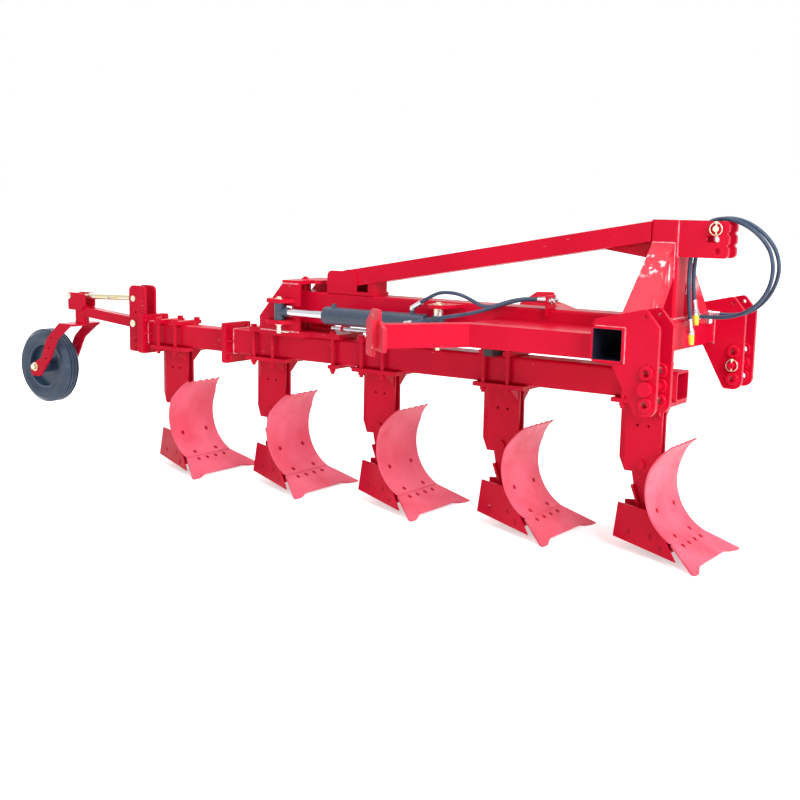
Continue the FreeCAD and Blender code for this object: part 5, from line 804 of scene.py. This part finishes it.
@dataclass
class HoseWorks:
    """The hoses with their ferrules, couplers and dust caps.

    Attributes:
        layout: places of the frame.
        coupler_length: length of a coupler from the hose's end to its cap.
        coupler_nut: radius and height of the coupler's hexagon.
        coupler_nut_at: where that starts along the coupler.
        elbow_nut: radius and height of the hexagon behind a ferrule on the cross tube.
        elbow_nut_at: where that starts ahead of the hose's first point.
        elbow_crimps: rings on the ferrules of the cross tube.
        bracket_crimps: rings on the ferrules of the hose bracket.
        port_crimps: rings on the ferrules of the cylinder's ports.
    """

    FERRULE: ClassVar[Ribbed] = Ribbed(
        start=((0.0, 0.0), (0.0096, 0.0), (0.0112, 0.0015)),
        rib=((0.0115, 0.0), (0.0115, 0.004), (0.0106, 0.0046), (0.0106, 0.0054)),
        end=((0.0115, 0.0345), (0.0085, 0.036), (0.0, 0.036)), first=0.004, pitch=0.006, count=5)
    GRIP: ClassVar[Ribbed] = Ribbed(
        start=((0.0, 0.045), (0.0128, 0.045), (0.0138, 0.046)),
        rib=((0.0166, 0.0), (0.0166, 0.0018), (0.0154, 0.0022)),
        end=((0.0138, 0.060), (0.0138, 0.0655), (0.0, 0.066)), first=0.047, pitch=0.0028, count=4)
    DUST_CAP: ClassVar[Ribbed] = Ribbed(
        start=((0.0, 0.0), (0.0142, 0.0), (0.0149, 0.0008), (0.0149, 0.005), (0.0142, 0.0062), (0.013, 0.0064)),
        rib=((0.0129, 0.0), (0.0135, 0.001), (0.0135, 0.003), (0.0128, 0.004)),
        end=((0.0104, 0.036), (0.0098, 0.0405), (0.0086, 0.0418), (0.0, 0.042)), first=0.009, pitch=0.006,
        count=4, taper=0.0004)

    layout: Layout
    coupler_length: float = 0.066
    coupler_nut: tuple[float, float] = (0.0138, 0.010)
    coupler_nut_at: float = 0.036
    elbow_nut: tuple[float, float] = (0.0155, 0.012)
    elbow_nut_at: float = -0.054
    elbow_crimps: Crimps = Crimps(0.0124, -0.040)
    bracket_crimps: Crimps = Crimps(0.0119, 0.004)
    port_crimps: Crimps = Crimps(0.0124, -0.022, pitch=0.006, count=3)

    def build(self) -> list[bpy.types.Object]:
        """Make all four hoses and what is on them.

        Returns:
            The pieces.
        """
        made = []
        for hose, tag in zip(TRACTOR_HOSES, ("near", "far")):
            item = hose.build(self.layout)
            end = self.layout.at(*hose.points[-1])
            aim = (end - self.layout.at(*hose.points[-2])).normalized()
            coupler = self._coupler("coupler_" + tag, end, aim)
            cap = self._cap("cap_" + tag, end + aim * self.coupler_length, aim)
            hose.declare(item, self.layout, "hanging", [coupler, cap])
            made += [item, coupler, cap]
        for hose in CYLINDER_HOSES:
            item = hose.build(self.layout)
            hose.declare(item, self.layout, "loose")
            made.append(item)
        return made + [self._frame_crimps(), self._port_crimps()]

    def _coupler(self, name: str, start: Vector, aim: Vector) -> bpy.types.Object:
        """Make a quick coupler with its crimped ferrule.

        Args:
            name: the piece's name.
            start: the hose's end.
            aim: the hose's direction there.

        Returns:
            The piece.
        """
        piece = Piece(name, Carrier.FRAME, Slot.ZINC, STEEL)
        piece.lathe(self.FERRULE.points(), start, aim, 28)
        piece.hexagon(self.coupler_nut, start + aim * self.coupler_nut_at, aim)
        piece.lathe(self.GRIP.points(), start, aim, 32)
        item = piece.finished()
        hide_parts("hose_couplers")
        return item

    def _cap(self, name: str, start: Vector, aim: Vector) -> bpy.types.Object:
        """Make a ribbed dust cap.

        Args:
            name: the piece's name.
            start: the coupler's end.
            aim: the coupler's direction.

        Returns:
            The piece.
        """
        piece = Piece(name, Carrier.FRAME, Slot.YELLOW, YELLOW)
        piece.lathe(self.DUST_CAP.points(), start, aim, 32)
        item = piece.finished()
        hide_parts("dust_caps")
        return item

    def _frame_crimps(self) -> bpy.types.Object:
        """Make the rings and nuts on the ferrules that the frame carries.

        Returns:
            The piece.
        """
        piece = Piece("hose_crimps", Carrier.FRAME, Slot.ZINC, STEEL)
        for hose in TRACTOR_HOSES:
            start = self.layout.at(*hose.points[0])
            self.elbow_crimps.press(piece, start, AHEAD)
            piece.hexagon(self.elbow_nut, start + AHEAD * self.elbow_nut_at, AHEAD)
        for hose in CYLINDER_HOSES:
            self.bracket_crimps.press(piece, self.layout.at(*hose.points[-1]), AHEAD)
        return piece.finished()

    def _port_crimps(self) -> bpy.types.Object:
        """Make the rings on the ferrules that the cylinder's barrel carries.

        Returns:
            The piece.
        """
        piece = Piece("port_crimps", Carrier.BARREL, Slot.ZINC, STEEL)
        for hose in CYLINDER_HOSES:
            start = self.layout.at(*hose.points[0])
            self.port_crimps.press(piece, start, (self.layout.at(*hose.points[1]) - start).normalized())
        return piece.finished()


class Surface:
    """Finds points on the skin of a CAD node."""

    def __init__(self, node: str) -> None:
        """Read the node's mesh.

        Args:
            node: the node's name.
        """
        data = frame["nodes"][node].data
        self.tree = BVHTree.FromPolygons([vertex.co for vertex in data.vertices],
                                         [tuple(face.vertices) for face in data.polygons])

    def hit(self, start: Vector, direction: Vector) -> Optional[tuple[Vector, Vector]]:
        """Find where a line meets the node.

        Args:
            start: a point outside the node.
            direction: where the line goes.

        Returns:
            The point met and the outward normal there, or None.
        """
        place, normal, _, _ = self.tree.ray_cast(start, direction)
        if place is None:
            return None
        return place, normal if normal.dot(direction) < 0 else -normal


@dataclass
class Fastenings:
    """The flush bolts of the plough bodies, the painted shadow lines round them, the painted shade in their
    dimples and the grease nipples.

    Attributes:
        layout: places of the frame.
        board_bolts: Y and Z of the bolts of a pair of mouldboards.
        board_reach: how far ahead of the body the search for them starts.
        share_bolts: Y of the bolts of a pair of shares.
        share_line: their place ahead of the body.
        share_reach: the height from which the search for them starts.
        side_bolts: place ahead of the body and height of a side plate's bolts.
        side_reach: how far out the search for them starts.
        barrel_nipple_back: how far the barrel's nipple is behind its front end.
        arm_nipple_ahead: how far the spindle's nipple is ahead of the arm's rear end.
        arm_nipple_up: how far it is above the arm's lowest point.
        shadow_lines: the piece of the painted shadow lines and the painted shade in the dimples.
    """

    HEAD: ClassVar[Profile] = (
        (0.0, 0.0003), (0.0044, 0.0004), (0.0052, 0.0016), (0.0088, 0.0018), (0.0098, 0.0014), (0.0104, -0.0006))
    # A thin dark ring of painted shadow round each bolt head.
    SHADOW_RING: ClassVar[Profile] = (
        (0.0102, -0.0004), (0.0104, 0.0005), (0.0116, 0.0005), (0.0118, -0.0004), (0.0102, -0.0004))
    # A dark disc of painted shade over the hollow in the middle of each head.
    DIMPLE_SHADE: ClassVar[Profile] = ((0.0, 0.0006), (0.0036, 0.0008), (0.0048, 0.0006), (0.005, -0.0004))
    NIPPLE: ClassVar[Profile] = (
        (0.0, 0.004), (0.0034, 0.004), (0.0034, 0.007), (0.0024, 0.0085), (0.0033, 0.0105), (0.0026, 0.0125),
        (0.0, 0.013))
    NIPPLE_NUT: ClassVar[tuple[float, float]] = (0.0055, 0.004)
    SMOOTH: ClassVar[float] = 60.0

    layout: Layout
    board_bolts: Profile = ((-0.093, 0.203), (0.093, 0.203), (-0.083, 0.104), (0.083, 0.104))
    board_reach: float = 0.8
    share_bolts: tuple[float, ...] = (-0.1, -0.033, 0.033, 0.1)
    share_line: float = 0.322
    share_reach: float = 0.4
    side_bolts: Profile = ((0.063, 0.089), (0.185, 0.095), (0.247, 0.058))
    side_reach: float = 0.6
    barrel_nipple_back: float = 0.044
    arm_nipple_ahead: float = 0.06
    arm_nipple_up: float = 0.02
    shadow_lines: Piece = field(default_factory=lambda: Piece("bolt_painted_shadows", Carrier.BEAM, Slot.RED, RED_SHADE))

    def build(self) -> list[bpy.types.Object]:
        """Make every bolt, the painted shadow lines and shade, and the nipples.

        Returns:
            The pieces.
        """
        made = [self._body_bolts(count) for count in range(self.layout.bodies)]
        made += [self._side_plate_bolts(), self.shadow_lines.finished(self.SMOOTH)]
        low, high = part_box("cylinder_barrel")
        made.append(self._nipple("barrel_nipple", "cylinder_barrel", Carrier.BARREL,
                                 high.x - self.barrel_nipple_back, (low.z + high.z) / 2))
        low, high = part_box("wheel_arm")
        made.append(self._nipple("spindle_nipple", "wheel_arm", Carrier.ARM,
                                 low.x + self.arm_nipple_ahead, low.z + self.arm_nipple_up))
        return made

    def _body_bolts(self, count: int) -> bpy.types.Object:
        """Make the bolts of one body's mouldboards and shares.

        Args:
            count: which body, 0 at the rear.

        Returns:
            The piece.
        """
        tag, origin = str(count + 1), self.layout.body_x(count)
        piece = Piece("board_bolts_" + tag, Carrier.BEAM, Slot.RED, RED)
        boards = Surface("mouldboard_" + tag)
        for y, z in self.board_bolts:
            self._bolt(piece, boards.hit(Vector((origin + self.board_reach, y, z)), -AHEAD))
        shares = Surface("share_" + tag)
        for y in self.share_bolts:
            self._bolt(piece, shares.hit(Vector((origin + self.share_line, y, self.share_reach)), DOWN))
        return piece.finished(self.SMOOTH)

    def _side_plate_bolts(self) -> bpy.types.Object:
        """Make the bolts of all side plates.

        Returns:
            The piece.
        """
        piece = Piece("side_plate_bolts", Carrier.BEAM, Slot.RED, RED)
        plates = Surface("side_plates")
        for count in range(self.layout.bodies):
            origin = self.layout.body_x(count)
            for side in SIDES:
                for x, z in self.side_bolts:
                    start = Vector((origin + x, side * self.side_reach, z))
                    self._bolt(piece, plates.hit(start, Vector((0.0, -side, 0.0))))
        return piece.finished(self.SMOOTH)

    def _bolt(self, piece: Piece, found: Optional[tuple[Vector, Vector]]) -> None:
        """Add a flush bolt with its painted shadow line, and a dark disc of painted shade in the dimple of its
        head.

        Args:
            piece: the piece that the head goes into.
            found: its place and the outward direction there, if the surface was met.
        """
        if found:
            piece.lathe(self.HEAD, *found, 20)
            self.shadow_lines.lathe(self.SHADOW_RING, *found, 20)
            self.shadow_lines.lathe(self.DIMPLE_SHADE, *found, 12)

    def _nipple(self, name: str, node: str, carrier: Carrier, x: float, z: float) -> bpy.types.Object:
        """Make a grease nipple on the near side of a node.

        Args:
            name: the piece's name.
            node: the CAD node.
            carrier: the body that it rides on.
            x: its place along the machine.
            z: its height.

        Returns:
            The piece.
        """
        place, outward = Surface(node).hit(Vector((x, -self.side_reach, z)), Vector((0.0, 1.0, 0.0)))
        piece = Piece(name, carrier, Slot.ZINC, ZINC)
        piece.hexagon(self.NIPPLE_NUT, place, outward, 0.0005)
        piece.lathe(self.NIPPLE, place, outward, 16)
        return piece.finished()


@dataclass
class WeldShop:
    """The weld beads between the frame's pieces; names that end in mm hold millimetres from the pivot.

    Attributes:
        layout: places of the frame.
        thick: radius of the thickest beads.
        middle: radius of the beads round the arms and the beam's flanges.
        thin: radius of the thinnest beads.
        tube_rear_mm: rear face of the cross tube.
        root_mm: Y, low and high end of the central beam's root.
        arm_mm: inner, outer, low and high end of an arm's root.
        brace_low: lower end of the seams between brace and mast.
        brace_foot: inner and outer end of a brace's foot.
        top_plate: inner and outer face of a top link plate.
        link_faces: faces of the lower link plates.
        link_low: lower end of their seams.
        link_back: how far their seams go back over the tube.
        fork_side_mm: side faces of the swing fork.
        fork_mm: start, end and height of its lower and upper seam.
        flange_mm: place, half width, low and high end of the beam's seams.
        barrel_mm: middle of the cylinder's barrel at the pivot.
        barrel_rings: place ahead of the pivot and height of each ring on it.
    """

    RING: ClassVar[Sequence[Point]] = ((0.0432, 0.0, 0.0), (0.044, 1.0, 0.0012), (0.0442, 1.0, 0.0025),
                                       (0.044, 1.0, 0.0038), (0.0432, 0.0, 0.005))
    SMOOTH: ClassVar[float] = 70.0

    layout: Layout
    thick: float = 0.0045
    middle: float = 0.0042
    thin: float = 0.004
    tube_rear_mm: float = 1897.0
    root_mm: Point = (70.0, 870.0, 1030.0)
    arm_mm: tuple[float, float, float, float] = (437.5, 512.5, 885.0, 985.0)
    brace_low: float = 1.195
    brace_foot: tuple[float, float] = (0.19, 0.37)
    top_plate: tuple[float, float] = (0.034, 0.054)
    link_faces: tuple[float, ...] = (0.4025, 0.4225, 0.5425, 0.5625)
    link_low: float = 0.885
    link_back: float = 0.126
    fork_side_mm: float = 151.0
    fork_mm: tuple[Point, Point] = ((-170.0, 82.0, 829.0), (-28.0, 80.0, 1071.0))
    flange_mm: tuple[tuple[float, float, float, float], ...] = (
        (-434.0, 65.0, 672.0, 802.0), (-486.0, 60.0, 677.0, 797.0), (-1080.0, 60.0, 677.0, 797.0))
    barrel_mm: Point = (0.0, -185.0, 931.0)
    barrel_rings: Profile = ((0.285, 0.0012), (0.313, 0.0006), (0.85, 0.0018))

    def build(self) -> list[bpy.types.Object]:
        """Lay the beads of the headstock, the stop arms, the swing fork, the beam and the barrel."""
        return [self._headstock(), self._arms(), self._fork(), self._flanges(), self._barrel()]

    def _upright_loop(self, piece: Piece, x: float, span: tuple[float, float], rise: tuple[float, float],
                      radius: float) -> None:
        """Lay a bead round an upright rectangle across the machine.

        Args:
            piece: the piece that it goes into.
            x: place along the machine in millimetres.
            span: first and last Y in millimetres.
            rise: lowest and highest Z in millimetres.
            radius: radius of the bead.
        """
        corners = ((span[0], rise[0]), (span[1], rise[0]), (span[1], rise[1]), (span[0], rise[1]))
        piece.bead([self.layout.at(x, y, z) for y, z in corners], radius, closed=True)

    def _headstock(self) -> bpy.types.Object:
        """Lay the beads of mast, central beam, braces, top link plates and lower link plates.

        Returns:
            The piece.
        """
        piece = Piece("headstock_welds", Carrier.FRAME, Slot.RED, WELD_RED_WITH_PAINTED_HIGHLIGHTS)
        _, tube_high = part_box("cross_tube")
        low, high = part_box("mast")
        foot = ((low.x, low.y), (high.x, low.y), (high.x, high.y), (low.x, high.y))
        piece.bead([Vector((x, y, tube_high.z)) for x, y in foot], self.thick, closed=True)
        half, bottom, top = self.root_mm
        self._upright_loop(piece, self.tube_rear_mm, (-half, half), (bottom, top), self.thick)
        for side in SIDES:
            self._brace(piece, side, high.y, tube_high.z)
        plate_low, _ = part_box("top_link_plates")
        for side in SIDES:
            inner, outer = (side * face for face in self.top_plate)
            corner = Vector((high.x, outer, plate_low.z))
            piece.bead([corner, Vector((high.x, outer, high.z))], self.thin)
            piece.bead([Vector((high.x, inner, plate_low.z)), corner], self.thin)
        for side in SIDES:
            for y in (side * face for face in self.link_faces):
                piece.bead([Vector((tube_high.x, y, self.link_low)), Vector((tube_high.x, y, tube_high.z)),
                            Vector((tube_high.x - self.link_back, y, tube_high.z))], self.thin)
        return piece.finished(self.SMOOTH)

    def _brace(self, piece: Piece, side: float, half: float, floor: float) -> None:
        """Lay the beads of one mast brace.

        Args:
            piece: the piece that they go into.
            side: -1 for the near brace and 1 for the far one.
            half: half the mast's width.
            floor: height of the cross tube's top.
        """
        low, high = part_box("mast_braces")
        inner, outer = (side * foot for foot in self.brace_foot)
        for x in (low.x, high.x):
            piece.bead([Vector((x, side * half, self.brace_low)), Vector((x, side * half, high.z))], self.thin)
            piece.bead([Vector((x, inner, floor)), Vector((x, outer, floor))], self.thin)
        for y, z in ((side * half, high.z), (outer, floor)):
            piece.bead([Vector((low.x, y, z)), Vector((high.x, y, z))], self.thin)

    def _arms(self) -> bpy.types.Object:
        """Lay the beads round the roots of the stop arms.

        Returns:
            The piece.
        """
        piece = Piece("arm_welds", Carrier.FRAME, Slot.RED, WELD_RED_WITH_PAINTED_HIGHLIGHTS)
        inner, outer, low, high = self.arm_mm
        for side in SIDES:
            self._upright_loop(piece, self.tube_rear_mm, (side * inner, side * outer), (low, high), self.middle)
        return piece.finished(self.SMOOTH)

    def _fork(self) -> bpy.types.Object:
        """Lay the lower and upper beads of the swing fork.

        Returns:
            The piece.
        """
        piece = Piece("fork_welds", Carrier.BEAM, Slot.RED, WELD_RED_WITH_PAINTED_HIGHLIGHTS)
        for y in (side * self.fork_side_mm for side in SIDES):
            for (start, end, z), radius in zip(self.fork_mm, (self.thick, self.thin)):
                piece.bead([self.layout.at(start, y, z), self.layout.at(end, y, z)], radius)
        return piece.finished(self.SMOOTH)

    def _flanges(self) -> bpy.types.Object:
        """Lay the beads of the beam's flanges.

        Returns:
            The piece.
        """
        piece = Piece("beam_welds", Carrier.BEAM, Slot.RED, WELD_RED_WITH_PAINTED_HIGHLIGHTS)
        for x, half, low, high in self.flange_mm:
            self._upright_loop(piece, x, (-half, half), (low, high), self.middle)
        return piece.finished(self.SMOOTH)

    def _barrel(self) -> bpy.types.Object:
        """Make the raised rings of the cylinder's barrel.

        Returns:
            The piece.
        """
        piece = Piece("barrel_rings", Carrier.BARREL, Slot.BLACK, BLACK)
        centre = self.layout.at(*self.barrel_mm)
        for x, proud in self.barrel_rings:
            profile = [(radius + share * proud, height) for radius, share, height in self.RING]
            piece.lathe(profile, centre + AHEAD * x, AHEAD, 64)
        return piece.finished(self.SMOOTH)


@dataclass(frozen=True)
class EdgeBreak:
    """How far the edges of a CAD node are rounded for the light.

    Attributes:
        width: width of the bevel in metres.
        segments: number of its steps.
        angle: least angle in degrees of an edge that is rounded.
    """

    width: float = 0.0012
    segments: int = 2
    angle: float = 38.0


@dataclass
class Dresser:
    """Gives every CAD node its finish and broken edges.

    Attributes:
        edge: how the edges are rounded.
        tube_wall: wall of the open cross tube.
    """

    BOARDS: ClassVar[tuple[str, str]] = ("mouldboard", "share")
    FINISHES: ClassVar[dict[str, Finish]] = {
        "mast_braces": RED_SCUFFED, "stop_plates": RED_WORN, "cylinder_barrel": BLACK, "rod_eye": BLACK,
        "piston_rod": CHROME, "stay_rod": BRIGHT, "wheel_rim": WHEEL_BLACK, "tyre": TYRE, "stop_block": STOP,
        "linch_pins": GOLD_ZINC, "top_link_pin": GOLD_ZINC, "rod_pin": ZINC, "cylinder_base_pin": ZINC,
        "wheel_pins": GOLD_ZINC, "hose_fittings": STEEL, "cylinder_fittings": STEEL,
        "turnbuckle_front_eye": ZINC, "turnbuckle_rear_screw": ZINC, "turnbuckle_sleeve": GOLD_ZINC,
        "wheel_axle": ZINC, "hose_couplers": STEEL, "dust_caps": YELLOW,
    }
    SOFT_EDGES: ClassVar[tuple[str, ...]] = (
        "cross_tube", "mast", "mast_braces", "lower_link_brackets", "top_link_plates", "central_beam",
        "backstay", "backstay_bracket", "swing_arms", "stop_plates", "swing_base_plate", "swing_fork",
        "rod_lugs", "plough_beam", "extension_beam", "beam_flanges", "clamps", "legs", "cylinder_base_lugs",
        "wheel_uprights", "wheel_arm", "castor_fork", "side_plates", "frogs", "stop_block")

    edge: EdgeBreak = EdgeBreak()
    tube_wall: float = 0.0085

    def build(self) -> list[bpy.types.Object]:
        """Dress every node.

        Returns:
            The nodes.
        """
        for name, item in frame["nodes"].items():
            board = name.startswith(self.BOARDS)
            # Mouldboards and shares take the red with painted sheen.
            finish = RED_WITH_PAINTED_SHEEN if board else self.FINISHES.get(name, RED)
            # The open cross tube gets painted shade on its inside.
            hollow_shade = None
            if name == "cross_tube":
                low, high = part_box(name)
                hollow_shade = HollowShade(tuple((low + high) / 2), (high.x - low.x) / 2 - self.tube_wall)
            item.data.materials.clear()
            item.data.materials.append(SHOP.material(finish, hollow_shade))
            if board or name in self.SOFT_EDGES:
                self._break_edges(item)
        return list(frame["nodes"].values())

    def _break_edges(self, item: bpy.types.Object) -> None:
        """Round the sharp edges of a node.

        Args:
            item: the node.
        """
        bevel = item.modifiers.new("edges", "BEVEL")
        bevel.width = self.edge.width
        bevel.segments = self.edge.segments
        bevel.limit_method = "ANGLE"
        bevel.angle_limit = math.radians(self.edge.angle)
        bevel.use_clamp_overlap = True


@dataclass(frozen=True)
class Lamp:
    """A square area lamp.

    Attributes:
        name: its name.
        place: where it stands.
        aim: the point that it faces.
        size: length of its side in metres.
        power: its power in watts.
    """

    name: str
    place: Point
    aim: Point
    size: float
    power: float

    def build(self) -> bpy.types.Object:
        """Make the lamp.

        Returns:
            The light object.
        """
        data = bpy.data.lights.new(self.name, "AREA")
        data.shape = "SQUARE"
        data.size = self.size
        data.energy = self.power
        item = add_object(self.name, data)
        start = Vector(self.place)
        turn = (Vector(self.aim) - start).to_track_quat("-Z", "Y").to_matrix().to_4x4()
        item.matrix_world = Matrix.Translation(start) @ turn
        return item


@dataclass
class Studio:
    """The camera, the floor, the world and the lamps.

    Attributes:
        layout: places of the frame.
        focal: focal length in millimetres.
        sensor: width of the sensor in millimetres.
        sight: how far the camera sees, in metres.
        yaw: the camera's turn to the left from straight across the machine, in degrees.
        pitch: how far it looks down, in degrees.
        roll: how far it leans, in degrees.
        place: its place in metres from the pivot's line on the ground.
        floor_half: half the floor's width.
        floor_cells: number of the floor's cells along a side.
        glow_band: distances from the origin over which the floor's glow goes from least to most.
        glow: least and most of that glow.
        ambient: strength of the world as a light.
        backdrop: strength of the world as the eye, metal and glass see it.
        lamps: the lamps.
    """

    layout: Layout
    focal: float = 55.99
    sensor: float = 36.0
    sight: float = 200.0
    yaw: float = 34.35
    pitch: float = 9.1
    roll: float = 1.13
    place: Point = (4.029, -5.012, 1.494)
    floor_half: float = 40.0
    floor_cells: int = 8
    glow_band: tuple[float, float] = (2.4, 4.5)
    glow: tuple[float, float] = (0.5, 1.0)
    ambient: float = 0.4
    backdrop: float = 1.0
    lamps: tuple[Lamp, ...] = (
        Lamp("key", (7.5, -3.0, 4.2), (0.4, 0.0, 0.6), 4.0, 560.0),
        Lamp("side", (0.5, -7.5, 3.2), (0.0, 0.0, 0.6), 5.0, 110.0),
        Lamp("top", (0.0, 0.5, 6.5), (0.0, 0.0, 0.6), 5.0, 240.0),
        Lamp("rear", (-7.0, 3.0, 3.5), (-0.5, 0.0, 0.7), 4.0, 90.0))

    def build(self) -> list[bpy.types.Object]:
        """Make the camera, the floor, the world and the lamps.

        Returns:
            The objects.
        """
        made = [self._camera(), self._floor()]
        self._world()
        return made + [lamp.build() for lamp in self.lamps]

    def _camera(self) -> bpy.types.Object:
        """Make the camera at the photograph's viewing angle.

        Returns:
            The camera.
        """
        data = bpy.data.cameras.new("camera")
        data.lens = self.focal
        data.sensor_width = self.sensor
        data.clip_end = self.sight
        camera = add_object("camera", data)
        yaw, pitch, roll = (math.radians(angle) for angle in (self.yaw, self.pitch, self.roll))
        forward = Vector((-math.sin(yaw) * math.cos(pitch), math.cos(yaw) * math.cos(pitch), -math.sin(pitch)))
        right = Vector((math.cos(yaw), math.sin(yaw), 0.0))
        up = right.cross(forward)
        side = right * math.cos(roll) + up * math.sin(roll)
        over = up * math.cos(roll) - right * math.sin(roll)
        turn = Matrix((side, over, -forward)).transposed().to_4x4()
        place = Vector(self.place) + AHEAD * self.layout.pivot_x
        camera.matrix_world = Matrix.Translation(place) @ turn
        bpy.context.scene.camera = camera
        return camera

    def _floor(self) -> bpy.types.Object:
        """Make the floor, which keeps the object's shadow and turns white further out.

        Returns:
            The floor.
        """
        data = bpy.data.meshes.new("floor")
        grid = bmesh.new()
        bmesh.ops.create_grid(grid, x_segments=self.floor_cells, y_segments=self.floor_cells,
                              size=self.floor_half)
        grid.to_mesh(data)
        grid.free()
        item = add_object("floor", data)
        material = SHOP.material(FLOOR)
        data.materials.append(material)
        self._lift_floor(NodeKit(material.node_tree))
        return item

    @staticmethod
    def _seen(kit: NodeKit) -> Socket:
        """Tell whether a ray comes from the camera, a mirror or glass.

        Args:
            kit: nodes of the material or world.

        Returns:
            1 if it does.
        """
        path = kit.new("LightPath")
        seen = path.outputs["Is Camera Ray"]
        for ray in ("Is Glossy Ray", "Is Transmission Ray"):
            seen = kit.compute("MAXIMUM", seen, path.outputs[ray])
        return seen

    def _lift_floor(self, kit: NodeKit) -> None:
        """Add the floor's glow to its material.

        Args:
            kit: nodes of the material.
        """
        far = kit.new("VectorMath")
        far.operation = "LENGTH"
        kit.join(kit.new("TexCoord").outputs["Object"], far.inputs[0])
        lift = kit.ramp(far.outputs["Value"], self.glow_band, *self.glow)
        glow = kit.new("Emission")
        kit.join(kit.compute("MULTIPLY", lift, self._seen(kit)), glow.inputs["Strength"])
        both = kit.new("AddShader")
        kit.join(kit.tree.nodes["Principled BSDF"].outputs["BSDF"], both.inputs[0])
        kit.join(glow.outputs["Emission"], both.inputs[1])
        kit.join(both.outputs["Shader"], kit.tree.nodes["Material Output"].inputs["Surface"])

    def _world(self) -> None:
        """Make a plain white world that lights less than it shows."""
        world = bpy.data.worlds.new("studio")
        bpy.context.scene.world = world
        world.use_nodes = True
        kit = NodeKit(world.node_tree)
        mix = kit.new("MixShader")
        kit.join(self._seen(kit), mix.inputs["Fac"])
        shaders = (kit.tree.nodes["Background"], kit.new("Background"))
        for shader, strength, socket in zip(shaders, (self.ambient, self.backdrop), mix.inputs[1:]):
            kit.join((1.0, 1.0, 1.0), shader.inputs["Color"])
            kit.join(strength, shader.inputs["Strength"])
            kit.join(shader.outputs["Background"], socket)
        kit.join(mix.outputs["Shader"], kit.tree.nodes["World Output"].inputs["Surface"])


def main() -> None:
    """Build the classes in order and report each piece."""
    logging.basicConfig(level=logging.INFO)
    bpy.context.scene.view_settings.view_transform = "Standard"
    layout = Layout.from_frame()
    for works in (Studio(layout), HoseWorks(layout), Dresser(), WeldShop(layout), Fastenings(layout)):
        for item in works.build():
            log.info("%s: %s", type(works).__name__, item.name)


if __name__ == "__main__":
    main()
